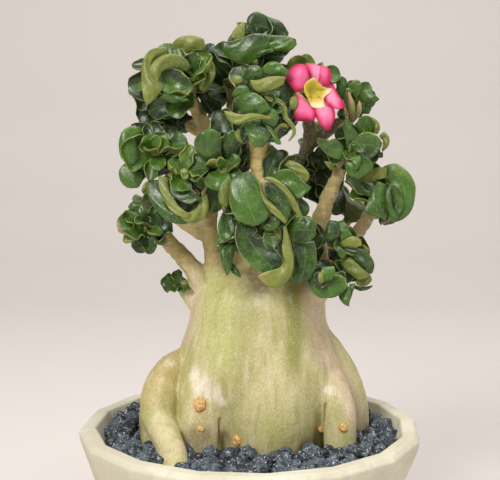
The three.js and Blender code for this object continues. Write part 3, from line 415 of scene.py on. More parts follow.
BRANCHES = {
    "low_left": [(-28, -2, 216, 12), (-37, -4, 235, 9.5), (-50.5, -8, 255, 7.4), (-74, -16, 282, 5.6)],
    "sprout": [(-36, -2, 214, 10), (-47, -3, 226, 8), (-54, -4, 234, 5.5)],
    "left": [
        (-16, 0, 214, 20), (-22, -2, 238, 13.5), (-28, -6, 258, 8.5), (-32, -8, 279, 7),
        (-31, -4, 312, 6.5), (-30, 0, 340, 6.2), (-37, -2, 364, 6.5), (-47, -5, 384, 6),
    ],
    "left_fork": [(-32, -8, 280, 6.5), (-39, -18, 298, 5.6), (-52, -34, 322, 4.8)],
    "far_left": [(-41, -20, 300, 5), (-66, -9, 334, 4.8)],
    "back_twig": [(-34, 0, 354, 6), (-66, 27, 374, 4.8)],
    "middle": [
        (12, -6, 222, 20), (12, -14, 250, 12), (13, -24, 278, 9), (9.5, -33, 324, 9.3),
        (5.5, -29, 369, 6.8),
    ],
    "middle_left": [(12, -30, 304, 6), (-18, -31, 333, 4.8)],
    "middle_front": [(12, -30, 300, 6.5), (10, -52, 320, 5.4)],
    "right": [
        (46, -2, 214, 15), (53, -6, 244, 9), (55, -8, 283, 7), (66, -10, 316, 5.6), (76, -15, 339, 5),
    ],
    "right_back": [(44, 14, 214, 15), (64, 22, 238, 9), (83, 26, 264, 6.5), (103, 14, 300, 5.2)],
    "behind": [
        (24, 12, 224, 18), (27, 22, 262, 9), (35, 31, 315, 6.2), (49, 31, 350, 5.4), (43, 8, 389, 4.8),
    ],
    "behind_right": [(49, 31, 348, 5.4), (79, 11, 369, 4.6)],
    "behind_low": [(32, 29, 300, 5.6), (54, 35, 318, 4.8)],
    "top": [(-2, 8, 226, 16), (-4, 16, 262, 10), (-8, 23, 330, 7.5), (-6, 22, 374, 6.2), (-1, 15, 406, 5)],
    "top_left": [(-8, 24, 352, 6), (-15, 29, 380, 4.8)],
    "top_back": [(-8, 25, 354, 6), (8, 47, 391, 4.8)],
    "low_right": [(54, -6, 236, 8), (72, -18, 262, 4.8)],
    "low_front": [(50, -10, 228, 9), (57, -37, 245, 4.8)],
    "low_middle": [(38, -4, 232, 9), (38, -25, 270, 4.8)],
    "rear_right": [(24, 22, 226, 14), (30, 46, 268, 7.5), (44, 67, 331, 4.5)],
    "rear_left": [(-14, 20, 224, 14), (-32, 42, 262, 7.5), (-50, 65, 324, 5)],
    "rear_far_right": [(46, 20, 222, 12), (70, 50, 254, 7), (81, 64, 275, 5)],
    "rear_middle": [(6, 28, 226, 13), (2, 54, 262, 7), (-2, 68, 290, 5)],
    "rear_far_left": [(-34, 44, 266, 6.5), (-72, 51, 291, 5)],
}
print("limbs:", len(SWELLINGS) + len(LEGS) + len(BRANCHES))


# %% Smooth tube
def through(stations, step):
    """Points on a smooth line through the stations, about step apart. Each has its radius."""
    s = np.asarray(stations, float)
    s = np.vstack([2 * s[0] - s[1], s, 2 * s[-1] - s[-2]])
    out = []
    for i in range(1, len(s) - 2):
        count = max(2, int(np.linalg.norm(s[i + 1][:3] - s[i][:3]) / step))
        for t in np.arange(count) / count:
            a, b, c, d = s[i - 1 : i + 3]
            bend = (2 * a - 5 * b + 4 * c - d) * t**2 + (3 * b - a - 3 * c + d) * t**3
            out.append(0.5 * (2 * b + (c - a) * t + bend))
    return np.array(out + [s[-2]])


def tube(stations, step=4.0, sides=20):
    """A closed tube with round ends: its points and faces."""
    line = through(stations, step)
    centres, radii = line[:, :3], np.maximum(line[:, 3], 0.4)
    ahead = np.gradient(centres, axis=0)
    ahead /= np.linalg.norm(ahead, axis=1)[:, None]
    across = np.cross(ahead[0], (0.1, 0.3, 1) if abs(ahead[0][2]) < 0.9 else (0, 1, 0))
    turns = np.arange(sides) / sides * math.tau
    rings = []
    rounds = [(-0.8, 0.55), (-0.45, 0.86)], [(0.45, 0.86), (0.8, 0.55)]
    for k, centre in enumerate(centres):
        across = across - across.dot(ahead[k]) * ahead[k]
        across /= np.linalg.norm(across)
        up = np.cross(ahead[k], across)
        spokes = np.cos(turns)[:, None] * across + np.sin(turns)[:, None] * up
        around = [(0, 1)]
        if k == 0:
            around = rounds[0] + around
        if k == len(centres) - 1:
            around = around + rounds[1]
        rings += [centre + ahead[k] * radii[k] * on + spokes * radii[k] * wide for on, wide in around]
    first = centres[0] - ahead[0] * radii[0]
    last = centres[-1] + ahead[-1] * radii[-1]
    return np.vstack([first, *rings, last]), ring_faces(len(rings), sides)


def gather(parts):
    """Several point and face lists as one."""
    points, faces, start = [], [], 0
    for some, their in parts:
        points.append(some)
        faces += [tuple(i + start for i in face) for face in their]
        start += len(some)
    return np.vstack(points), faces


def join(parts):
    """Parts that carry named numbers as one: points, faces and numbers."""
    points, faces = gather([part[:2] for part in parts])
    return points, faces, {label: np.concatenate([part[2][label] for part in parts]) for label in parts[0][2]}


def numbers_at(points, labels, **given):
    """A number for each label at every point: the given one, or 0."""
    return {label: np.zeros(len(points)) + given.get(label, 0) for label in labels}


print("a plain tube has", len(tube(LEGS["arm"])[0]), "points")


# %% Trunk body
def oval_stack(sides=96):
    """The swollen middle, as smooth rings."""
    line = through([(x, y, z, rx, ry) for z, x, y, rx, ry in BODY_OVALS], 4)
    turns = np.arange(sides) / sides * math.tau
    rings = [
        np.stack([x + rx * np.cos(turns), y + ry * np.sin(turns), np.full(sides, z)], axis=1)
        for x, y, z, rx, ry in line
    ]
    x, y, z = line[0][:3]
    high = line[-1][:3] + (0, 0, 5)
    return np.vstack([(x, y, z - 3), *rings, high]), ring_faces(len(rings), sides)


# %% [markdown]
# Where a root was cut off, the tree closed the wound with a raised lip round a pale tan face. Each of
# these is a low dome with a sunken middle. The remesh would wipe out anything so small, so the domes
# are set into the bark after it, and a named number on their points carries their colour.

# %% Cut-root scars
SCARS = [
    ((-39.2, -41.8, 146.3), (-0.07, -0.96, 0.28), 5.2),
    ((-38.3, -45.7, 128.1), (0, -0.98, 0.17), 2.6),
    ((-10.2, -42.7, 117.5), (-0.6, -0.8, 0), 4.6),
    ((72.7, -46.2, 129.1), (0.08, -0.99, 0.14), 3.4),
    ((57, -30, 123), (0.3, -0.9, 0), 3.0),
]
KNOB_PROFILE = [(0.9, -1.2), (1.0, -0.2), (0.98, 0.12), (0.8, 0.4), (0.5, 0.55), (0.2, 0.5)]
KNOB_ENDS = (-1.2, 0.45)
KNOB_SIDES = 18


def knob(place, facing, radius):
    """A low callus dome, sunk into the bark, not quite round."""
    way = unit(facing)
    across = unit(np.cross((0, 0, 1), way))
    upward = np.cross(way, across)
    turns = np.arange(KNOB_SIDES) / KNOB_SIDES * math.tau
    uneven = 1 + 0.1 * np.sin(2 * turns + radius) + 0.06 * np.sin(5 * turns + place[0])
    spokes = (np.cos(turns) * uneven)[:, None] * across + (np.sin(turns) * uneven)[:, None] * upward
    rings = [np.array(place) + radius * (share * spokes + height * way) for share, height in KNOB_PROFILE]
    ends = [np.array(place) + radius * height * way for height in KNOB_ENDS]
    return np.vstack([ends[0], *rings, ends[1]]), ring_faces(len(KNOB_PROFILE), KNOB_SIDES)


print("scars:", len(SCARS))


# %% Trunk skin
VOXEL = 1.65
EASING_ROUNDS = 2


def trunk_skin():
    pile = [oval_stack()]
    pile += [tube(path, sides=28) for path in SWELLINGS.values()]
    pile += [tube(path, sides=24) for path in LEGS.values()]
    pile += [tube(path, sides=18) for path in BRANCHES.values()]
    rough = make_piece("trunk_pile", *gather(pile))
    melt = rough.modifiers.new("melt", "REMESH")
    melt.mode = "VOXEL"
    melt.voxel_size = VOXEL * MM
    ease = rough.modifiers.new("ease", "SMOOTH")
    ease.factor = 0.5
    ease.iterations = EASING_ROUNDS
    scene = bpy.context.evaluated_depsgraph_get()
    mesh = bpy.data.meshes.new_from_object(rough.evaluated_get(scene))
    bpy.data.objects.remove(rough)
    return mesh


trunk_mesh = trunk_skin()
print("trunk skin:", len(trunk_mesh.polygons), "faces")

# %% [markdown]
# Bark detail comes in two sizes. What shows in the outline, such as low rings round the branches and
# shallow dents, moves the points of the mesh. What only catches the light stays in the material.
# Each point also gets a few named numbers that say where it is: on a scar, on the rosy flank, on the
# green stripe, on a pale worn patch, on brown bark, in painted shade under the heads and on the back
# branches, in a crease with painted shade, or up on the branches. The material turns these into colour.

# %% Bark surface
WORN_PATCHES = [
    (-45, -36, 169, 9, 0.7), (-38, -38, 162, 10, 0.9), (-30, -41, 156, 9, 0.9), (-23, -42, 150, 7, 0.6),
    (-41, -42, 149, 7, 0.6), (9, -40, 229, 12, 0.45), (62, -36, 157, 7, 0.7), (17, -50, 176, 6, 0.35),
    (-64, -18, 173, 6, 0.6), (36, -44, 132, 12, 0.4),
]
# The low umber patches are brown bark; the three from 238 to 258 mm up, in the crotch and under the front
# head, are painted shade.
UMBER_AND_SHADE_PATCHES = [
    (-40, -46, 122, 13), (-22, -36, 118, 8), (9, -32, 238, 8), (40, -38, 116, 9), (-84, -14, 120, 12),
    (-12, -17, 258, 17), (4, -26, 250, 14),
]
# Lines down the creases between the lobes: a shallow groove, with painted shade along it.
CREASES = [
    [(-24, -39, 134), (-24, -38, 125), (-24, -38, 110)],
    [(59, -37, 146), (58.5, -36, 137), (58, -32, 123), (58, -24, 108)],
]
TRUNK_TOP = 250
ROSY_LINE = ((120, 90), (155, 76), (188, 57), (221, 51), (250, 48))
# Branches with darker bark: the low left and the right one get a browner tone, and the ones at the back get
# painted shade.
UMBER_AND_SHADED_BRANCHES = {
    "low_left": 0.4, "right": 0.3, "right_back": 0.8, "behind": 1.2, "behind_right": 1.2, "behind_low": 1.2,
}
ARM_CUFF = {"place": (-61, -10, 168), "rings": ((0, 0.9), (3.5, 0.6), (7, 0.35)), "reach": 15}


def near_path(points, path, reach):
    """1 within reach of a path of stations, falling to 0 at twice that reach."""
    best = np.full(len(points), 1e9)
    for a, b in zip(path, path[1:]):
        start, way = np.array(a[:3], float), np.array(b[:3], float) - np.array(a[:3], float)
        t = np.clip((points - start) @ way / way.dot(way), 0, 1)[:, None]
        best = np.minimum(best, np.linalg.norm(points - start - t * way, axis=1))
    return np.clip(2 - best / reach, 0, 1)


def bark_numbers(points):
    """Named numbers for points in millimetres."""
    x, y, z = points.T
    near = lambda cx, cy, cz, r: np.exp(-(((x - cx) ** 2 + (y - cy) ** 2 + (z - cz) ** 2) / r**2))
    scar = np.zeros(len(x))
    for (cx, cy, cz), _, r in SCARS:
        away = np.hypot(np.hypot(x - cx, y - cy), z - cz)
        scar = np.maximum(scar, 0.8 * np.clip(1.9 - away / r, 0, 1))
    body = 1 / (1 + np.exp((z - TRUNK_TOP) / 4))
    heights, places = zip(*ROSY_LINE)
    rosy = np.exp(-(((x - np.interp(z, heights, places)) / 10) ** 2)) * body
    rosy = np.maximum(rosy, np.exp(-(((x + 42 - (z - 245) * 0.2) / 6) ** 2)) * body * (z > 188) * 0.8)
    rosy = np.maximum(rosy, near(-58, -68, 110, 16))
    high = 1 / (1 + np.exp((172 - z) / 7))
    moss = np.exp(-(((x - 34) / 8) ** 2)) * body * high
    lime = np.exp(-(((x + 25) / 15) ** 2)) * body * high + 0.7 * near(20, -50, 130, 22)
    worn = np.max([near(cx, cy, cz, r) * share for cx, cy, cz, r, share in WORN_PATCHES], axis=0)
    umber = np.max([near(*patch) for patch in UMBER_AND_SHADE_PATCHES], axis=0)
    for name, share in UMBER_AND_SHADED_BRANCHES.items():
        umber = np.maximum(umber, share * near_path(points, BRANCHES[name], 8) * (1 - body))
    arm = near_path(points, LEGS["arm"], 17) * (x < -56)
    gold = np.maximum(near(-45, -6, 378, 24), near(8, -34, 336, 22)) * (1 - body)
    tan = np.maximum(1 - body, 0.7 * arm * np.clip((z - 125) / 30, 0.3, 1))
    crack = np.max([near_path(points, path, 0.8) for path in CREASES], axis=0)
    return {
        "scar": scar, "rosy": rosy, "moss": moss, "lime": lime, "worn": worn, "umber": umber, "tan": tan,
        "twig": 1 - body, "crack": crack, "gold": gold,
    }


def bark_relief(points, twig, crack):
    """How far each point moves along its normal, in millimetres."""
    out = np.empty(len(points))
    for i, (x, y, z) in enumerate(points):
        broad = noise.noise(Vector((x, y, z * 0.6)) / 26)
        dents = noise.noise(Vector((x, y, z)) / 8 + Vector((9, 0, 0)))
        rings = noise.noise(Vector((x / 22, y / 22, z / 3.2)))
        out[i] = 0.9 * broad + 0.35 * dents + twig[i] * (0.9 * rings + 0.4 * dents) - 1.2 * crack[i]
    from_cuff = points - np.array(ARM_CUFF["place"])
    along = from_cuff @ unit(np.array(LEGS["arm"][2][:3]) - np.array(LEGS["arm"][1][:3]))
    close = np.exp(-((np.linalg.norm(from_cuff, axis=1) / ARM_CUFF["reach"]) ** 4))
    for place, rise in ARM_CUFF["rings"]:
        out += rise * close * np.exp(-(((along - place) / 1.1) ** 2))
    return out


count = len(trunk_mesh.vertices)
bark_points = np.empty(count * 3)
bark_normals = np.empty(count * 3)
trunk_mesh.vertices.foreach_get("co", bark_points)
trunk_mesh.vertices.foreach_get("normal", bark_normals)
bark_points = bark_points.reshape(-1, 3) / MM
bark_normals = bark_normals.reshape(-1, 3)
bark_values = bark_numbers(bark_points)
bark_points += bark_normals * bark_relief(bark_points, bark_values["twig"], bark_values["crack"])[:, None]
bark_faces = [tuple(face.vertices) for face in trunk_mesh.polygons]
knobs, knob_faces = gather([knob(*scar) for scar in SCARS])
knob_values = numbers_at(knobs, bark_values, scar=1)
bpy.data.meshes.remove(trunk_mesh)
whole_bark = join([(bark_points, bark_faces, bark_values), (knobs, knob_faces, knob_values)])
trunk = make_piece("trunk_bark", *whole_bark)
print("bark points:", count)

# %% [markdown]
# The bark is a thin skin over green tissue. It shows a yellow-green ground with silvery flecks that
# are drawn out along the growth, so that noise is stretched upwards. Branches are more golden, with
# dark specks where leaves fell. Stretching Object coordinates is enough, because all limbs rise.

# %% Bark finish
# The two umber zones give brown bark and painted shade; the second one, near black, is painted shade on the
# branches at the back.
ZONES = [
    ("lime", 0.1, 0.9, 0.8, (0.50, 0.50, 0.16)),
    ("moss", 0.1, 0.9, 0.85, (0.25, 0.27, 0.035)),
    ("rosy", 0.15, 0.9, 0.85, (0.60, 0.46, 0.31)),
    ("tan", 0.2, 0.9, 0.85, (0.50, 0.37, 0.13)),
    ("gold", 0.1, 0.9, 0.85, (0.68, 0.50, 0.17)),
    ("umber", 0.15, 0.9, 0.75, (0.20, 0.14, 0.065)),
    ("umber", 0.95, 1.2, 0.8, (0.055, 0.055, 0.03)),
]

bark = Finish("flecked_bark", roughness=0.5)
mottle = bark.band(bark.cloud(22, 2, (1, 1, 0.25)), 0.35, 0.65)
ground = bark.blend(mottle, (0.44, 0.41, 0.15), (0.60, 0.53, 0.27))
for label, low, high, share, colour in ZONES:
    ground = bark.over(ground, label, low, high, share, colour)
patchy = bark.times("worn", bark.band(bark.cloud(4.5, 3, (1, 1, 0.4)), 0.3, 0.6, 0.6, 1.25))
ground = bark.over(ground, patchy, 0.15, 0.9, 0.85, (0.88, 0.81, 0.68))
flecks = bark.cloud(0.75, 2, (1, 1, 0.4))
ground = bark.over(ground, flecks, 0.5, 0.66, 0.26, (0.84, 0.80, 0.62))
ground = bark.over(ground, flecks, 0.48, 0.32, 0.34, (0.26, 0.21, 0.08))
streaks = bark.cloud(5, 4, (1, 1, 0.14))
ground = bark.over(ground, streaks, 0.52, 0.72, 0.3, (0.80, 0.74, 0.56))
ground = bark.over(ground, streaks, 0.47, 0.3, 0.4, (0.32, 0.29, 0.09))
bands = bark.times(bark.band(bark.cloud(7, 3, (0.35, 0.35, 2.4)), 0.52, 0.64), "twig")
ground = bark.blend(bark.times(bands, 0.32), ground, (0.20, 0.14, 0.055))
specks = bark.band(bark.cells(5.5), 0.16, 0.08)
specks = bark.times(specks, bark.band("twig", 0.3, 0.8, 0.1, 0.8))
ground = bark.blend(specks, ground, (0.13, 0.085, 0.045))
# Painted shade along the creases.
ground = bark.over(ground, "crack", 0.1, 0.9, 0.7, (0.12, 0.075, 0.04))
callus = bark.blend(bark.band(bark.cloud(1.6), 0.4, 0.6), (0.50, 0.27, 0.07), (0.74, 0.50, 0.20))
ground = bark.over(ground, "scar", 0.2, 0.85, 0.95, callus)
bark.colour(ground)
bark.set("Roughness", bark.band(bark.cloud(7), 0.3, 0.7, 0.42, 0.62))
bark.relief(bark.sums("ADD", flecks, bark.times(bark.cloud(6), 1.2)), 0.45, 0.55)
settle(trunk, ["trunk"], bark.material)

# %% [markdown]
# ## Lava gravel
# The stones repeat by the hundred, so Geometry Nodes lay them. Points are scattered on a flat ring
# with a least distance between them. Points under or against the trunk are taken away: a ray cast
# down finds those inside it, and a distance finds those that touch. Each point gets a rough
# ball, turned and stretched at random. After the balls are made real, noise read at their own place
# breaks each one into a different stone.

# %% Stone tree
STONE_INPUTS = {
    "Stone size": ("NodeSocketFloat", 7.2 * MM),
    "Spacing": ("NodeSocketFloat", 10.6 * MM),
    "Clearance": ("NodeSocketFloat", 3.2 * MM),
    "Roughness": ("NodeSocketFloat", 8.5 * MM),
    "Seed": ("NodeSocketInt", 5),
}
POINTS_PER_SQUARE_METRE = 60000
ABOVE_ALL_STONES = 0.1
BUMPS_PER_METRE = 240


def live(sockets, name):
    """The socket of that name that the node's settings have switched on."""
    return next(s for s in sockets if s.name == name and s.enabled)


def stone_tree(trunk_object, finish):
    tree = bpy.data.node_groups.new("lava_stones", "GeometryNodeTree")
    tree.interface.new_socket("Geometry", in_out="INPUT", socket_type="NodeSocketGeometry")
    for label, (kind, value) in STONE_INPUTS.items():
        tree.interface.new_socket(label, in_out="INPUT", socket_type=kind).default_value = value
    tree.interface.new_socket("Geometry", in_out="OUTPUT", socket_type="NodeSocketGeometry")

    def add(kind, inputs, **settings):
        """A node with its settings. Each input gets a value, or a wire from another node's output."""
        node = tree.nodes.new(kind)
        for label, value in settings.items():
            setattr(node, label, value)
        for label, value in inputs.items():
            socket = node.inputs[label] if isinstance(label, int) else live(node.inputs, label)
            if isinstance(value, bpy.types.NodeSocket):
                tree.links.new(value, socket)
            else:
                socket.default_value = value
        return node

    given = add("NodeGroupInput", {}).outputs
    seed = given["Seed"]
    scatter = add("GeometryNodeDistributePointsOnFaces", distribute_method="POISSON", inputs={
        "Mesh": given["Geometry"], "Distance Min": given["Spacing"], "Seed": seed,
        "Density Max": POINTS_PER_SQUARE_METRE,
    })

    skin = add("GeometryNodeObjectInfo", {"Object": trunk_object}).outputs["Geometry"]
    near = add("GeometryNodeProximity", {"Geometry": skin}, target_element="FACES").outputs["Distance"]
    touches = add("FunctionNodeCompare", {"A": near, "B": given["Clearance"]}, operation="LESS_THAN")
    ray = add("GeometryNodeRaycast", {
        "Target Geometry": skin, "Ray Direction": (0, 0, -1), "Ray Length": ABOVE_ALL_STONES,
    })
    hits = {0: touches.outputs["Result"], 1: ray.outputs["Is Hit"]}
    taken = add("FunctionNodeBooleanMath", hits, operation="OR").outputs["Boolean"]
    cleared = add("GeometryNodeDeleteGeometry", {"Geometry": scatter.outputs["Points"], "Selection": taken})

    ball = add("GeometryNodeMeshIcoSphere", {"Subdivisions": 2, "Radius": given["Stone size"]})
    turn = {"Max": (math.tau, math.tau, math.tau), "Seed": seed}
    stretch = {"Min": (0.6, 0.6, 0.6), "Max": (1.3, 1.2, 1.1), "Seed": seed}
    turn, stretch = (add("FunctionNodeRandomValue", r, data_type="FLOAT_VECTOR") for r in (turn, stretch))
    lay = add("GeometryNodeInstanceOnPoints", {
        "Points": cleared.outputs["Geometry"], "Instance": ball.outputs["Mesh"],
        "Rotation": live(turn.outputs, "Value"), "Scale": live(stretch.outputs, "Value"),
    })
    chance = add("FunctionNodeRandomValue", {"Seed": seed}, data_type="FLOAT")
    tint = add("GeometryNodeStoreNamedAttribute", data_type="FLOAT", domain="INSTANCE", inputs={
        "Geometry": lay.outputs["Instances"], "Name": "tint", "Value": live(chance.outputs, "Value"),
    })

    real = add("GeometryNodeRealizeInstances", {"Geometry": tint.outputs["Geometry"]})
    rough = add("ShaderNodeTexNoise", {"Scale": BUMPS_PER_METRE, "Detail": 3}).outputs["Color"]
    around = add("ShaderNodeVectorMath", {0: rough, 1: (0.5, 0.5, 0.5)}, operation="SUBTRACT")
    push = {0: around.outputs["Vector"], "Scale": given["Roughness"]}
    push = add("ShaderNodeVectorMath", push, operation="SCALE")
    broken = add("GeometryNodeSetPosition", {
        "Geometry": real.outputs["Geometry"], "Offset": push.outputs["Vector"],
    })
    painted = add("GeometryNodeSetMaterial", {"Geometry": broken.outputs["Geometry"], "Material": finish})
    add("NodeGroupOutput", {"Geometry": painted.outputs["Geometry"]})
    return tree


# %% Gravel finish
lava = Finish("black_lava", roughness=0.75)
stone = lava.blend(lava.band("tint", 0.0, 1.0), (0.014, 0.019, 0.027), (0.080, 0.098, 0.124))
stone = lava.over(stone, "tint", 0.985, 0.99, 1, (0.22, 0.09, 0.055))
# Paler grey-blue patches and small white specks: dust on the lava, and partly painted highlights.
stone = lava.over(stone, lava.cloud(4, 5), 0.5, 0.62, 0.75, (0.17, 0.21, 0.24))
stone = lava.over(stone, lava.cloud(2.4, 5), 0.6, 0.66, 0.9, (0.58, 0.62, 0.66))
stone = lava.over(stone, lava.cells(1.6), 0.32, 0.12, 0.8, (0.006, 0.006, 0.008))
lava.colour(stone)
lava.set("Roughness", lava.band(lava.cloud(4), 0.3, 0.7, 0.55, 0.9))
lava.relief(lava.sums("ADD", lava.cells(1.8), lava.cloud(1.1)), 0.9, 1.0)


# %% Lay the stones
GRAVEL_BEDS = [
    {"height": 104, "hole": 0, "radius": 115, "inputs": {"Seed": 3}},
    {"height": 110, "hole": 0, "radius": 117, "inputs": {"Seed": 8}},
    {"height": 113.5, "hole": 101, "radius": 115, "inputs": {"Seed": 12, "Spacing": 9 * MM}},
]


def flat_bed(height, hole, radius, sides=48):
    turns = np.arange(sides) / sides * math.tau
    ring = lambda r: np.stack([r * np.cos(turns), r * np.sin(turns), np.full(sides, height)], axis=1)
    faces = [(i, sides + i, sides + (i + 1) % sides, (i + 1) % sides) for i in range(sides)]
    return make_piece("gravel_bed", np.vstack([ring(max(hole, 1)), ring(radius)]), faces)


def lay_stones(bed, inputs, tree):
    laid = bed.modifiers.new("stones", "NODES")
    laid.node_group = tree
    sockets = {s.name: s.identifier for s in tree.interface.items_tree if s.in_out == "INPUT"}
    for label, (_, value) in STONE_INPUTS.items():
        laid[sockets[label]] = inputs.get(label, value)
    mesh = bpy.data.meshes.new_from_object(bed.evaluated_get(bpy.context.evaluated_depsgraph_get()))
    bed.modifiers.remove(laid)
    bpy.data.objects.remove(bed)
    return mesh


stones = stone_tree(trunk, lava.material)
layers = [lay_stones(flat_bed(b["height"], b["hole"], b["radius"]), b["inputs"], stones) for b in GRAVEL_BEDS]


def one_mesh(name, meshes):
    """Several meshes with the same named number as one piece."""
    points, faces, tints, start = [], [], [], 0
    for mesh in meshes:
        co = np.empty(len(mesh.vertices) * 3)
        mesh.vertices.foreach_get("co", co)
        points.append(co.reshape(-1, 3) / MM)
        faces += [tuple(i + start for i in face.vertices) for face in mesh.polygons]
        tint = np.empty(len(mesh.vertices), np.float32)
        mesh.attributes["tint"].data.foreach_get("value", tint)
        tints.append(tint)
        start += len(mesh.vertices)
    return make_piece(name, np.vstack(points), faces, {"tint": np.concatenate(tints)})


gravel = one_mesh("lava_gravel", layers)
gravel.data.shade_flat()
settle(gravel, ["gravel"], lava.material)

# %% [markdown]
# ## Leaves
# A leaf of this plant is a thick waxy spoon, narrow at its stalk and widest past the middle. Most of
# them bend back or fold up, so no two look alike, yet one rule draws them all: a midrib that is an
# arc, a width along it, and sides that curve up or down from it. On top of that come a grooved
# midrib, a wavy margin and a soft rolled rim. The points of a blade crowd towards its margin, where
# it curves most.

# %% One blade
GOLDEN_ANGLE = 2.39996
LEAF_THICKNESS = 1.9
LONG_LEAF = 15
LEAF_TAPER = 1.5
LEAF_BLUNTNESS = 0.5
RIB_HALF_WIDTH = 1.1
GROOVE_ABOVE, RIB_BELOW = -0.55, 0.4
LONG_GRID, SHORT_GRID = (18, 12), (11, 8)
LEAF_NUMBERS = ("along", "across", "under", "tone", "stem", "odd")


def draw(seed, k):
    """A repeatable number from 0 to 1."""
    x = math.sin(seed * 12.9898 + k * 78.233) * 43758.5453
    return x - math.floor(x)


def bent_line(share, turn, steps=8):
    """Where a line of length one has got to at a share of it, when it turns as turn() says."""
    turned = turn(share * (np.arange(steps) + 0.5) / steps)
    return [share * wave(turned).mean(axis=1, keepdims=True) for wave in (np.cos, np.sin)]


def blade_between(start, end, facing, width, curl, cup, seed, tone=0.3, **shape):
    """A blade from its stalk end to its tip. Its upper side faces the given way halfway along."""
    start, end = np.asarray(start, float), np.asarray(end, float)
    span = np.linalg.norm(end - start)
    chord = (end - start) / span
    middle = np.asarray(facing, float)
    middle = unit(middle - middle.dot(chord) * chord)
    hook = shape.get("hook", 1.3 * (draw(seed, 26) - 0.35))
    x, y = (float(c[0, 0]) for c in bent_line(np.array([[1.0]]), lambda s: curl * s + hook * s**3))
    half = math.atan2(y, x)
    return {
        "base": start,
        "along": chord * math.cos(half) + middle * math.sin(half),
        "face": middle * math.cos(half) - chord * math.sin(half),
        "length": span / math.hypot(x, y), "width": width, "curl": curl, "hook": hook, "cup": cup,
        "twist": 1.4 * (draw(seed, 27) - 0.5), "wave": 0.045 + 0.08 * draw(seed, 28),
        "rolls": (2.8 * (draw(seed, 24) - 0.28), 2.8 * (draw(seed, 25) - 0.28)),
        "seed": seed, "tone": tone, **shape,
    }


def blade_surface(b, s, v, lift):
    """Points of a blade at shares s along it and v across it. lift is 1 on its upper side, -1 below."""
    lengthwise = lambda s: b["curl"] * s + b["hook"] * s**3
    turned = lengthwise(s)
    x, y = bent_line(s, lengthwise)
    spot = b["base"] + b["length"] * (x * b["along"] - y * b["face"])
    flat = b["face"] * np.cos(turned) + b["along"] * np.sin(turned)
    tangent = b["along"] * np.cos(turned) - b["face"] * np.sin(turned)
    level = np.cross(tangent, flat)
    twist = b["twist"] * (s - 0.5)
    side, normal = level * np.cos(twist) + flat * np.sin(twist), flat * np.cos(twist) - level * np.sin(twist)
    open_end = np.sin(np.pi * np.clip(s, 0, 1) ** LEAF_TAPER)
    half = b["width"] / 2 * open_end**LEAF_BLUNTNESS
    left, right = b["rolls"]
    fold, roll = b["cup"] * (0.4 + 0.6 * s), np.where(v < 0, left, right) * open_end**0.5
    crosswise = lambda v: fold * v + roll * v**3
    x, y = bent_line(v, crosswise)
    spot = spot + half * (side * x + normal * y)
    lean = crosswise(v)
    outward = normal * np.cos(lean) - side * np.sin(lean)
    phase = draw(b["seed"], 21) * math.tau
    waves = 1.3 + 1.2 * draw(b["seed"], 22)
    ripple = b["wave"] * b["width"] * np.abs(v) ** 1.8 * np.sin(waves * math.tau * s + phase + (v > 0) * 2.1)
    rib = np.exp(-((v * half / RIB_HALF_WIDTH) ** 2)) * open_end
    plump = np.maximum(0, np.sin(np.pi * np.clip(s, 0, 1))) ** 0.28
    plump = np.sqrt(np.maximum(0, 1 - np.abs(v) ** 7)) * plump
    relief = np.where(lift > 0, GROOVE_ABOVE * rib, RIB_BELOW * rib) * (lift != 0)
    return spot + outward * ((lift * LEAF_THICKNESS / 2 + relief) * plump + ripple * open_end**0.5)


def blade_mesh(b, push=None):
    """The closed skin of a blade: points, faces, and what its material needs to know at each point.

    push may move the points; it is given their shares along the blade too.
    """
    rows, columns = LONG_GRID if b["length"] > LONG_LEAF else SHORT_GRID
    spread = np.sin(np.linspace(-1, 1, columns + 1) * np.pi / 2)
    along = (1 - np.cos(np.linspace(0, 1, rows + 1) * np.pi)) / 2 * 0.5 + np.linspace(0, 1, rows + 1) * 0.5
    s, v, lift = [0.0], [0.0], [0.0]
    for k in range(1, rows):
        s += [along[k]] * (2 * columns)
        v += [*spread, *spread[-2:0:-1]]
        lift += [0.0] + [1.0] * (columns - 1) + [0.0] + [-1.0] * (columns - 1)
    s, v, lift = (np.array([*a, e])[:, None] for a, e in ((s, 1.0), (v, 0.0), (lift, 0.0)))
    points = blade_surface(b, s, v, lift)
    if push is not None:
        points = push(points, s)
    s, v, lift = s[:, 0], v[:, 0], lift[:, 0]
    odd = draw(b["seed"], 31)
    values = numbers_at(points, LEAF_NUMBERS, along=s, across=v, under=lift < 0, tone=b["tone"], odd=odd)
    return points, ring_faces(rows - 1, 2 * columns), values


def stalk_mesh(stations, bare):
    points, faces = tube(stations, step=3, sides=10)
    return points, faces, numbers_at(points, LEAF_NUMBERS, stem=bare)


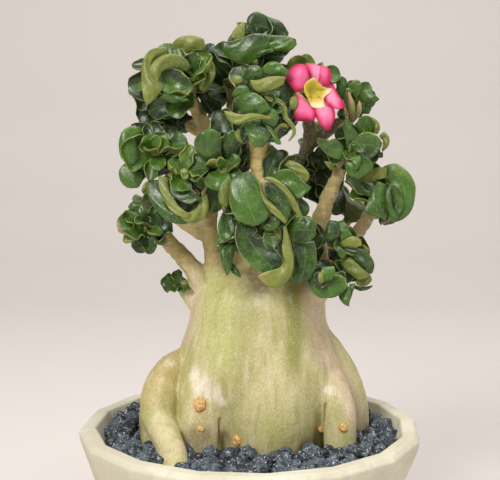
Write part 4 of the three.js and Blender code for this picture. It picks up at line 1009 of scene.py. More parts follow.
def sheet_mesh(near, far, bow, towards, thickness, roll=0, step=1.4, wave=0.3, columns=12):
    """A thin closed sheet between two edge lines, bowed towards one side.

    Gives its points and faces, and at each point the share along, the share across and the side.
    """
    line = through([(*a, *b) for a, b in zip(near, far)], step)
    spread = np.sin(np.linspace(-1, 1, columns + 1) * np.pi / 2)
    around = np.array([*spread, *spread[-2:0:-1]])
    lift = np.array([0.0] + [1.0] * (columns - 1) + [0.0] + [-1.0] * (columns - 1))
    shares = np.linspace(0, 1, len(line))
    rings = []
    for row, share in zip(line, shares):
        a, b = row[:3], row[3:]
        open_end = math.sin(math.pi * min(0.97, max(0.03, share)))
        rise = bow * (1 - around**2) * open_end + roll * np.exp(-(((around - 0.5) / 0.3) ** 2)) * open_end
        rise = rise + wave * np.sin(4 * around + 13 * share) * open_end
        half = lift * thickness / 2 * np.sqrt(1 - np.abs(around) ** 7) * open_end**0.3
        rings.append(a + (b - a) * (around[:, None] + 1) / 2 + towards * (rise + half)[:, None])
    ends = [(rings[0][0] + rings[0][columns]) / 2, (rings[-1][0] + rings[-1][columns]) / 2]
    along = np.concatenate([[0], np.repeat(shares, len(around)), [1]])
    across = np.concatenate([[0], np.tile(around, len(line)), [0]])
    side = np.concatenate([[0], np.tile(lift, len(line)), [0]])
    return np.vstack([ends[0], *rings, ends[1]]), ring_faces(len(rings), 2 * columns), along, across, side


plain_blade = blade_between((0, 0, 0), (20, 0, 10), (0, 0, 1), 20, 0.5, 0.3, 1)
print("faces in a blade:", len(blade_mesh(plain_blade)[1]))

# %% [markdown]
# The leaves that show in the photo are placed one by one, because each head is a portrait: where a
# blade leaves its shoot, where its tip is, which way its upper side faces, its width, how far it
# bends back (a minus bend rolls it inwards), how far its sides fold up, and its tone from dark old
# green to pale young yellow. Low tones are partly painted shade, for leaves deep in the crown or
# turned away from the light. The short rows are plain leaves that fill the shade between the others;
# their low tones are painted shade. They all face the front, so they give only their two places,
# width and tone.

# %% Leaves that show from the front
PLAIN_FACING = (0, -1, 0.1)
PLAIN_BEND_AND_FOLD = (0.25, 0.27)
LEAVES = {"head_front": [
    (13, -62, 293, 13, -66, 280, 18, 0.12), (12, -58, 292, -2, -60, 285, 18, 0.12),
    (15, -58, 292, 30, -60, 282, 18, 0.12), (12, -58, 294, 2, -58, 305, 18, 0.12),
    (15, -58, 295, 26, -58, 309, 18, 0.12),
    (9, -60, 293, -13, -62, 299, -0.1, -0.9, 0.4, 12, 0.42, 0.4, 0.4),
    (0, -54, 305, -21, -58, 304, -0.2, -0.8, 0.5, 13, 0.42, 0.4, 0.5),
    (-2, -54, 309, -18, -56, 321, -0.3, -0.8, 0.5, 14, 0.33, 0.4, 0.4),
    (-9, -56, 316, -19, -58, 305, -0.4, -0.9, 0.1, 9, 0.42, 0.47, 0.55),
    (10, -68, 286, 19, -76, 291, 0.1, -0.8, 0.6, 9, 0.33, 0.53, 0.55),
    (9, -66, 283, 15, -74, 273, 0.2, -0.9, 0.2, 8, 0.25, 0.47, 0.5),
    (-14, -60, 290, -26, -62, 277, -0.2, -0.9, 0.2, 7, 0.42, 0.4, 0.75),
    (15, -62, 291, 35, -62, 303, 0.1, -0.9, 0.3, 14, 0.33, 0.33, 0.25),
    (16.9, -36, 314.6, 21.6, -30, 345.1, 0, -1, 0, 13.8, 0.3, 0.4, 0.2),
], "head_middle_left": [
    (-20, -50, 332, -33, -54, 335, 0, 0.35, 0.9, 10, 0.5, 0.27, 0.7),
    (-20, -50, 334, -7, -52, 339, 0.1, -0.8, 0.6, 11, 0.33, 0.4, 0.4),
    (-21, -50, 332, -26, -56, 316, -0.2, -0.9, 0.3, 14, 0.42, 0.33, 0.58),
    (-20, -48, 332, -9, -52, 323, 0.2, -0.9, 0.2, 12, 0.33, 0.33, 0.42),
    (-21, -40, 333, -11, -38, 355, 0.1, -0.9, 0.2, 15, 0.33, 0.27, 0.12),
    (-23, -40, 332, -38, -40, 329, 0, -1, 0.1, 13, 0.33, 0.27, 0.12),
    (-21, -38, 334, -28, -34, 348, 0, -1, 0, 17, 0.25, 0.27, 0.1),
    (-20, -36, 333, -5, -32, 345, 0, -1, 0.1, 15, 0.33, 0.27, 0.1),
    (-21, -52, 333, -23, -58, 341, 0, -0.9, 0.4, 6, 0.33, 0.53, 0.6),
    (-10.8, -30, 337.4, 2.3, -30, 346.6, 0, -1, 0, 13.8, 0.3, 0.4, 0.05),
    (-10.8, -30, 337.4, 0, -30, 328.1, 0, -1, 0, 12.7, 0.3, 0.4, 0.05),
    (-18.5, -32, 337.5, -20, -32, 359, 0, -1, 0, 13.8, 0.3, 0.4, 0.08),
    (-21.9, -18, 332.8, -22.7, -14, 375.6, 0, -1, 0, 14.1, 0.3, 0.4, 0.08),
    (0.8, 4, 321.1, 0, 4, 353.1, 0, -1, 0, 8.3, 0.3, 0.4, 0.08),
    (-28.8, -24, 332.4, -30.4, -28, 296, 0, -1, 0.1, 11.7, 0.3, 0.4, 0.35),
    (-28.9, -22, 326, -20.9, -32, 304.2, 0.2, -1, 0, 8.5, 0.35, 0.6, 0.6),
    (-21.9, -20, 332.9, 3.2, -8, 337.8, 0, -1, 0, 14.2, 0.2, 0.3, 0.06),
    (-21.8, -24, 333.2, -5.5, -16, 366.3, 0, -1, 0, 14, 0.2, 0.3, 0.08),
], "head_left_inner": [
    (-51, -40, 318, -49, -46, 303, 0, -1, 0.1, 16, 0.25, 0.4, 0.12),
    (-48, -50, 332, -56, -58, 316, 0.2, -0.9, 0.3, 14, 0.33, 0.6, 0.62, {"twist": 0.1}),
    (-49, -46, 332, -62, -50, 338, 0.2, -0.7, 0.7, 16, 0.33, 0.6, 0.55),
    (-47, -50, 328, -31, -52, 332, -0.1, -0.7, 0.7, 17, 0.33, 0.47, 0.3),
    (-48, -50, 325, -33, -56, 324, 0, -0.55, -0.8, 13, 0.25, 0.33, 0.5),
    (-46, -46, 334, -45, -46, 350, 0, -1, 0.2, 9, 0.33, 0.53, 0.7),
    (-50, -40, 330, -61, -40, 326, 0, -1, 0.1, 13, 0.33, 0.27, 0.12),
    (-50, -40, 326, -37, -42, 314, 0, -1, 0.1, 15, 0.33, 0.27, 0.12),
    (-51, -38, 329, -60, -40, 313, 0, -1, 0.1, 14, 0.33, 0.27, 0.12),
    (-51, -52, 330, -49, -60, 324, 0.1, -0.9, 0.4, 5, 0.33, 0.53, 0.7),
    (-49.2, -38, 314.8, -43, -40, 296.5, 0, -1, 0, 13.7, 0.3, 0.4, 0.1),
], "head_left": [
    (-78, -34, 344, -99, -44, 346, 0.15, -0.95, 0.1, 22, -0.5, 0.47, 0.52,
     {"rolls": (0.5, 1.2), "twist": 0, "wave": 0.05}),
    (-79, -30, 331, -97, -32, 321, 0.1, -0.9, 0.3, 11, -0.42, 0.4, 0.45),
    (-72, -20, 349, -94, -22, 362, 0, -0.6, 0.8, 15, 0.42, 0.27, 0.15),
    (-72, -18, 352, -77, -16, 365, 0, -0.9, 0.3, 12, 0.33, 0.27, 0.12),
    (-72, -16, 352, -61, -12, 363, 0, -0.9, 0.3, 12, 0.33, 0.27, 0.1),
    (-71, -34, 343, -75, -36, 358, 0, -0.75, 0.65, 18, 0.25, 0.6, 0.45),
    (-69, -40, 345, -68, -44, 356, 0, -0.8, 0.6, 9, 0.33, 0.67, 0.7),
    (-68, -38, 339, -48, -42, 350, 0, -0.6, 0.8, 14, 0.33, 0.4, 0.35),
    (-72, -42, 341, -69, -46, 330, 0.1, -0.9, 0.3, 9, 0.42, 0.47, 0.5),
    (-75, -38, 338, -76, -42, 322, -0.2, -0.95, 0, 10, 0.33, 0.4, 0.4),
    (-65, -44, 340, -77, -48, 346, 0, 0.3, 0.9, 9, 0.5, 0.27, 0.7),
    (-73, -30, 337, -87, -28, 336, 0, -1, 0.1, 13, 0.33, 0.27, 0.1),
    (-71, -30, 339, -67, -28, 326, 0, -1, 0.1, 11, 0.33, 0.27, 0.1),
    (-73, -28, 342, -84, -24, 353, 0, -1, 0.1, 14, 0.33, 0.27, 0.1),
], "head_low_left": [
    (-79, -36, 284, -101, -46, 284, -0.1, -0.85, 0.5, 20, 0.42, 0.33, 0.3, {"wave": 0.11}),
    (-78, -30, 289, -96, -34, 296, 0, -0.7, 0.7, 15, 0.33, 0.33, 0.35),
    (-78, -16, 300, -94, -14, 303, 0, -0.9, 0.4, 9, 0.25, 0.27, 0.42),
    (-79, -30, 281, -60, -34, 287, 0.2, -0.95, 0.2, 18, 0.33, 0.27, 0.14),
    (-80, -44, 281, -69, -50, 281, 0, -0.7, 0.7, 8, 0.33, 0.47, 0.5),
    (-80, -34, 277, -87, -38, 266, -0.1, -0.95, -0.1, 10, 0.25, 0.27, 0.12),
    (-79, -34, 277, -77, -38, 265, 0.1, -0.95, -0.1, 8, 0.25, 0.27, 0.15),
    (-84, -38, 279, -97, -44, 275, 0, -0.8, 0.5, 7, 0.33, 0.33, 0.8),
    (-77, -36, 279, -63, -38, 274, 0.1, -0.9, 0.1, 8, 0.33, 0.33, 0.35),
    (-80, -28, 284, -81, -24, 296, 0, -1, 0.2, 14, 0.33, 0.27, 0.12),
    (-81, -28, 280, -92, -26, 271, 0, -1, 0, 10, 0.33, 0.27, 0.12),
    (-81, -44, 288, -88, -50, 291, -0.1, -0.8, 0.6, 7, 0.33, 0.47, 0.45),
], "head_top_left": [
    (-42, -22, 394, -66, -40, 390, 0, -0.85, 0.5, 19, 0.33, 0.53, 0.6, {"rolls": (0.4, 0.2)}),
    (-42, -24, 400, -59, -34, 406, 0.1, -0.6, 0.8, 17, 0.42, 0.4, 0.4),
    (-39, -16, 391, -30, -20, 419, -0.75, -0.6, 0.2, 22, -0.33, 0.53, 0.7),
    (-42, -22, 402, -40, -32, 419, -0.1, -0.9, 0.3, 12, 0.25, 0.6, 0.2),
    (-43, -24, 403, -33, -36, 411, -0.3, -0.7, 0.6, 12, 0.25, 0.6, 0.6),
    (-45, -22, 405, -59, -18, 422, -0.1, -0.7, 0.6, 13, 0.33, 0.4, 0.35),
    (-57, -4, 391, -97, 0, 396, 0.2, -0.95, 0.2, 19, 0.42, 0.2, 0.08),
    (-68, -6, 396, -93, -6, 411, 0.1, -0.9, 0.3, 9, 0.33, 0.2, 0.15),
    (-64, -8, 394, -91, -10, 391, 0.1, -0.8, 0.5, 8, 0.33, 0.33, 0.7),
    (-47, -16, 387, -60, -30, 370, 0, -0.9, 0.35, 15, 0.33, 0.27, 0.3),
    (-42, 2, 391, -28, 8, 370, 0.1, -0.95, 0.2, 14, 0.33, 0.27, 0.08),
    (-50, -10, 385, -80, -8, 374, 0, -0.95, 0.15, 15, 0.42, 0.27, 0.05),
    (-40, -18, 388, -34, -34, 399, 0.2, -0.8, 0.5, 11, 0.42, 0.47, 0.6),
    (-58, -10, 419, -71, -24, 418, -0.2, -0.6, 0.8, 13, 0.5, 0.2, 0.5),
    (-51, 0, 410, -72, 8, 426, -0.1, -0.8, 0.5, 14, 0.42, 0.33, 0.3),
], "head_back_left": [
    (-66, 18, 377, -96, 12, 396, 0.2, -0.9, 0.3, 24, 0.5, 0.4, 0.05),
    (-67, 20, 374, -90, 14, 367, 0, -0.9, 0.2, 21, 0.5, 0.3, 0.05),
    (-63, 18, 374, -59, 14, 355, 0, -1, 0.1, 21, 0.4, 0.2, 0.05),
    (-63, 14, 377, -65, 2, 368, 0, -0.9, 0.3, 19, 0.6, 0.1, 0.2),
    (-65, 20, 380, -73, 26, 393, -0.2, -0.7, 0.6, 20, 0.5, 0.3, 0.1),
    (-69, 32, 375, -84, 52, 380, -0.4, 0.3, 0.9, 22, 0.6, 0.3, 0.3),
    (-43.6, 18, 410.5, -29, 18, 428, 0, -1, 0, 11.2, 0.3, 0.4, 0.08),
], "head_inner_top": [
    (-15, 24, 391, -36, 18, 388, 0, -0.25, 0.95, 23, 0.5, 0.6, 0.15),
    (-18, 22, 395, -34, 10, 421, -0.4, -0.85, 0.2, 24, 0.6, 0.3, 0.1),
    (-15, 30, 390, -11, 8, 402, 0, -0.7, 0.7, 11, 0.5, 0.5, 0.95),
    (-16, 34, 387, -30, 38, 373, -0.4, -0.5, 0.6, 22, 0.8, 0.2, 0.05),
    (-15, 34, 391, -23, 50, 406, -0.2, 0.4, 0.9, 22, 0.5, 0.3, 0.3),
], "head_top": [
    (10, 4, 423, 10, 8, 450, 15, 0.1), (10, 4, 423, -3, 6, 443, 12, 0.1),
    (10, 4, 423, 25, 8, 442, 13, 0.08), (9, 0, 423, -15, -6, 428, 12, 0.1),
    (9, 0, 423, 32, -4, 428, 13, 0.1), (9, -6, 422, -8, -12, 415, 13, 0.06),
    (9, -6, 422, 11, -10, 414, 13, 0.06), (11, -4, 422, 27, -8, 418, 12, 0.06),
    (10, 20, 427, 0, 44, 446, 0, 0.3, 0.95, 23, 0.42, 0.27, 0.2),
    (5, 4, 423, -17, 0, 432, -0.1, -0.8, 0.6, 17, 0.25, 0.53, 0.2),
    (-8, 8, 413, -29, 4, 423, 0.1, -0.9, 0.4, 16, 0.33, 0.4, 0.1),
], "head_upper_middle": [
    (10, -38, 377, -12, -40, 385, 18, 0.12), (10, -38, 377, 32, -38, 385, 22, 0.1),
    (10, -38, 377, 9, -38, 400, 19, 0.1), (10, -38, 376, 0, -40, 356, 17, 0.12),
    (10, -38, 376, 24, -40, 355, 19, 0.08), (10, -32, 383, -8, -30, 409, 18, 0.12),
    (10, -32, 383, 29, -34, 406, 19, 0.12), (10, -34, 377, 37, -34, 370, 16, 0.1),
    (14, -30, 386, 31, -30, 377, 16, 0.06),
    (10, -50, 379, 18, -58, 388, 0.2, -0.8, 0.5, 9, 0.33, 0.53, 0.35),
    (10, -50, 377, 24, -56, 374, 0.3, -0.8, 0.3, 10, 0.33, 0.53, 0.25),
    (10, -48, 376, 13, -54, 361, 0.1, -0.9, 0.2, 9, 0.33, 0.4, 0.3),
    (9, -50, 377, 3, -56, 367, -0.1, -0.9, 0.2, 8, 0.33, 0.4, 0.45),
], "head_bloom": [
    (43, 4, 393, 35, 4, 418, 0.1, -0.9, 0.3, 13, 0.3, 0.4, 0.6),
    (44, 4, 393, 45, 8, 420, 0.1, -0.9, 0.3, 10, 0.3, 0.4, 0.7),
    (45, 4, 391, 72, 4, 404, 0.1, -0.8, 0.5, 14, 0.4, 0.3, 0.4),
    (43, 4, 390, 25, -6, 385, 0, -0.8, 0.5, 16, 0.5, 0.3, 0.2),
    (45, 4, 390, 62, 0, 374, 0.2, -0.8, 0.4, 17, 0.5, 0.3, 0.1),
    (43, 8, 390, 38, 0, 379, 0, -0.9, 0.3, 16, 0.5, 0.3, 0.1),
    (44, 16, 395, 51, 34, 408, 0, 0.4, 0.9, 21, 0.5, 0.3, 0.4),
], "head_upper_right": [
    (80, 8, 382, 74, 8, 396, 11, 0.12), (80, 8, 382, 86, 8, 398, 12, 0.12),
    (82, 8, 383, 101, 8, 386, 11, 0.15), (82, 8, 382, 91, 8, 373, 12, 0.08),
    (80, 6, 380, 76, 6, 367, 11, 0.1), (80, 2, 383, 82, -4, 391, 0.2, -0.8, 0.5, 7, 0.33, 0.53, 0.5),
    (84.3, 2, 384.9, 95.1, 0, 395.9, 0, -1, 0.1, 9.9, 0.3, 0.4, 0.5),
], "head_right": [
    (80, -22, 345, 60, -26, 348, 17, 0.15), (80, -22, 345, 73, -22, 366, 13, 0.12),
    (80, -22, 345, 98, -22, 351, 19, 0.1), (80, -22, 345, 84, -24, 325, 16, 0.15),
    (81, -18, 348, 91, -18, 366, 13, 0.12), (80, -20, 343, 97, -20, 337, 12, 0.15),
    (80, -30, 343, 83, -38, 350, 0.2, -0.8, 0.5, 8, 0.33, 0.53, 0.5),
    (79, -30, 343, 73, -38, 338, -0.2, -0.8, 0.3, 8, 0.33, 0.53, 0.5),
    (80, -30, 343, 78, -38, 352, 0, -0.8, 0.5, 7, 0.33, 0.53, 0.55),
], "head_far_right": [
    (113, -10, 298, 125, -20, 294, -0.2, -0.8, 0.5, 13, 0.42, 0.27, 0.3),
    (112, -10, 298, 104, -26, 288, 0, -0.4, -0.8, 11, 0.25, 0.27, 0.15),
    (101, -6, 309, 73, -12, 321, 0.15, -0.7, 0.7, 19, -0.58, 0.6, 0.35),
    (97, -6, 302, 79, -14, 307, 0, -0.6, 0.7, 15, 0.42, 0.33, 0.5),
    (111, 0, 305, 122, 6, 326, 0, -0.8, 0.5, 21, 0.33, 0.27, 0.15),
    (109, 2, 303, 102, 6, 318, 0, -0.8, 0.5, 16, 0.33, 0.27, 0.12),
    (113, 4, 299, 123, 6, 295, 0, -1, 0.2, 16, 0.33, 0.27, 0.12),
    (104, 0, 301, 92, 2, 310, 0, -1, 0.3, 15, 0.33, 0.27, 0.12),
    (113, -10, 293, 116, -10, 317, 0, -1, 0, 17, 0.17, 0.2, 0.2),
    (107, -16, 305, 99, -26, 315, 0.2, -0.9, 0.4, 8, 0.25, 0.53, 0.5),
    (104.4, 0, 303.7, 97.7, 2, 333.2, 0, -1, 0.1, 8.8, 0.3, 0.4, 0.2),
], "head_low_right": [
    (74, -26, 265, 63, -30, 285, 13, 0.12), (75, -24, 265, 76, -28, 286, 12, 0.15),
    (74, -26, 265, 94, -28, 265, 17, 0.1), (75, -26, 263, 91, -28, 245, 16, 0.08),
    (75, -26, 263, 76, -28, 242, 16, 0.06), (74, -28, 265, 63, -30, 258, 13, 0.08),
    (74, -32, 266, 78, -46, 265, 0.2, -0.8, 0.5, 7, 0.33, 0.53, 0.6),
    (72, -32, 267, 64, -44, 274, -0.2, -0.8, 0.5, 8, 0.33, 0.53, 0.4),
], "head_low_front": [
    (60, -44, 248, 45, -50, 245, 15, 0.1), (60, -44, 248, 74, -50, 241, 15, 0.1),
    (60, -44, 248, 58, -50, 234, 15, 0.12), (60, -42, 249, 63, -44, 261, 14, 0.06),
    (62, -38, 249, 79, -40, 253, 15, 0.06),
    (59, -52, 250, 54, -64, 244, -0.1, -0.9, 0.2, 7, 0.33, 0.4, 0.4),
], "head_low_middle": [
    (39, -30, 272, 46, -42, 295, 0.1, -0.9, 0.3, 18, 0.4, 0.3, 0.25),
    (39, -28, 272, 56, -34, 282, 0.2, -0.85, 0.4, 16, 0.5, 0.3, 0.15),
    (37, -30, 270, 29, -42, 260, 0, -0.95, 0.2, 20, 0.5, 0.2, 0.1),
    (39, -30, 270, 50, -38, 256, 0.2, -0.9, 0.2, 17, 0.5, 0.2, 0.1),
    (-9.3, -36, 283.6, -17.8, -38, 271.4, 0, -1, 0, 7.9, 0.3, 0.4, 0.1),
    (0, -38, 287.8, -19.2, -42, 275.1, 0, -1, 0, 10.5, 0.2, 0.3, 0.1),
], "head_inner_right": [
    (56, 32, 321, 58, 26, 341, 0, -0.95, 0.3, 21, 0.5, 0.3, 0.05),
    (56, 32, 319, 77, 24, 315, 0.1, -0.9, 0.2, 20, 0.5, 0.3, 0.05),
    (55, 32, 317, 45, 26, 303, 0, -0.95, 0.1, 21, 0.5, 0.3, 0.05),
    (56, 30, 316, 63, 22, 298, 0.1, -0.9, 0.2, 21, 0.5, 0.3, 0.05),
    (57, 40, 320, 73, 54, 334, 0.3, 0.4, 0.8, 22, 0.5, 0.3, 0.3),
    (55, 40, 319, 41, 52, 330, -0.3, 0.4, 0.8, 22, 0.5, 0.3, 0.3),
    (54.1, 22, 330.5, 73.5, 16, 310.4, 0, -1, 0, 16.8, 0.3, 0.4, 0.06),
    (55.5, 18, 322.5, 75.1, 14, 290.9, 0, -1, 0, 15.6, 0.3, 0.4, 0.06),
    (54, 22, 334.5, 66.1, 20, 346.1, 0, -1, 0, 12.4, 0.3, 0.4, 0.1),
], "sprout": [
    (-53, -6, 236, -70, -10, 234, -0.2, -0.6, 0.75, 13, 0.5, 0.3, 0.25),
    (-52, -6, 238, -60, -4, 247, -0.2, -0.7, 0.6, 10, 0.3, 0.5, 0.3),
    (-52, -6, 236, -56, -14, 231, -0.2, -0.8, 0.5, 11, 0.5, 0.3, 0.4),
]}
SHOOTS = {
    "head_front": [(10, -52, 320), (12, -60, 308), (14, -65, 290)],
    "head_middle_left": [(-18, -31, 333), (-20, -42, 336), (-20, -46, 330)],
    "head_upper_middle": [(5, -29, 369), (9, -38, 373), (10, -44, 376)],
    "head_top_left": [(-47, -5, 384), (-46, -13, 391), (-48, -20, 397)],
    "head_left_inner": [(-52, -34, 322), (-51, -42, 325), (-50, -47, 328)],
    "head_left": [(-66, -9, 334), (-71, -22, 338), (-72, -31, 342)],
    "head_low_left": [(-74, -16, 281), (-79, -24, 284), (-80, -31, 284)],
    "head_right": [(76, -15, 339), (79, -22, 342), (80, -30, 343)],
    "head_far_right": [(103, 14, 300), (109, 3, 303), (112, -8, 303)],
    "head_low_right": [(72, -18, 262), (73, -26, 266), (73, -32, 266)],
    "head_low_front": [(57, -37, 245), (58, -44, 247), (59, -49, 249)],
    "head_low_middle": [(38, -25, 270), (39, -31, 273)],
    "head_top": [(-1, 15, 406), (3, 12, 416), (4, 4, 417), (4, -4, 411)],
    "head_bloom": [(43, 8, 389), (44, 5, 395), (45, 6, 399)],
    "head_upper_right": [(79, 11, 369), (80, 5, 376), (80, 4, 382)],
    "head_back_left": [(-66, 27, 374), (-67, 20, 378), (-66, 16, 380)],
    "head_inner_top": [(-15, 29, 380), (-15, 27, 389), (-16, 26, 395)],
    "head_inner_right": [(54, 35, 318), (56, 34, 324), (56, 34, 329)],
    "sprout": [(-50, -2, 232), (-53, -6, 236)],
}
SIDE_SHOOTS = {
    "head_front": [[(12, -60, 308), (-2, -62, 296)], [(13, -62, 300), (25, -59, 289)]],
    "head_top_left": [[(-46, -13, 391), (-60, -15, 411)], [(-46, -9, 388), (-48, 3, 402)]],
}
REAR_HEADS = [
    ("head_rear_top", (8, 47, 391), (0.1, 0.5, 0.85), 29, 26),
    ("head_rear_right", (44, 67, 331), (0.25, 0.55, 0.8), 31, 37),
    ("head_rear_left", (-50, 65, 324), (-0.35, 0.5, 0.8), 31, 43),
    ("head_rear_far_right", (81, 64, 275), (0.5, 0.5, 0.7), 27, 59),
    ("head_rear_middle", (-2, 68, 290), (0, 0.75, 0.65), 28, 67),
    ("head_rear_far_left", (-72, 51, 291), (-0.65, 0.4, 0.65), 25, 73),
]
print("leaves listed:", sum(len(rows) for rows in LEAVES.values()))

# %% [markdown]
# The boldest leaves have outlines that no simple rule gives, such as hooks and crescents. Each of
# these is a sheet between two edge lines, drawn from its stalk end to its tip. A row gives the depth
# of the stalk end and of the tip, how far the sheet bows to the front, and the tones of the near line's
# two ends and the far line's two ends; two tones stand for both lines. Then come the two lines, read
# as pixels of the photo: across, down, across, down. The camera turns a pixel and a depth into a
# place. True at the end turns the pale underside to the front.

# %% Leaves with a shape of their own
PHOTO_WIDTH, PHOTO_HEIGHT = 500, 480
FOCAL_PIXELS = PHOTO_WIDTH * lens.lens / lens.sensor_width
EYE = (0.0, -900, 385)
TO_THE_FRONT = np.array([0.0, -1.0, 0.0])
TIP_DEPTH_RATE = 1.3
RUST_TONE = 0.95
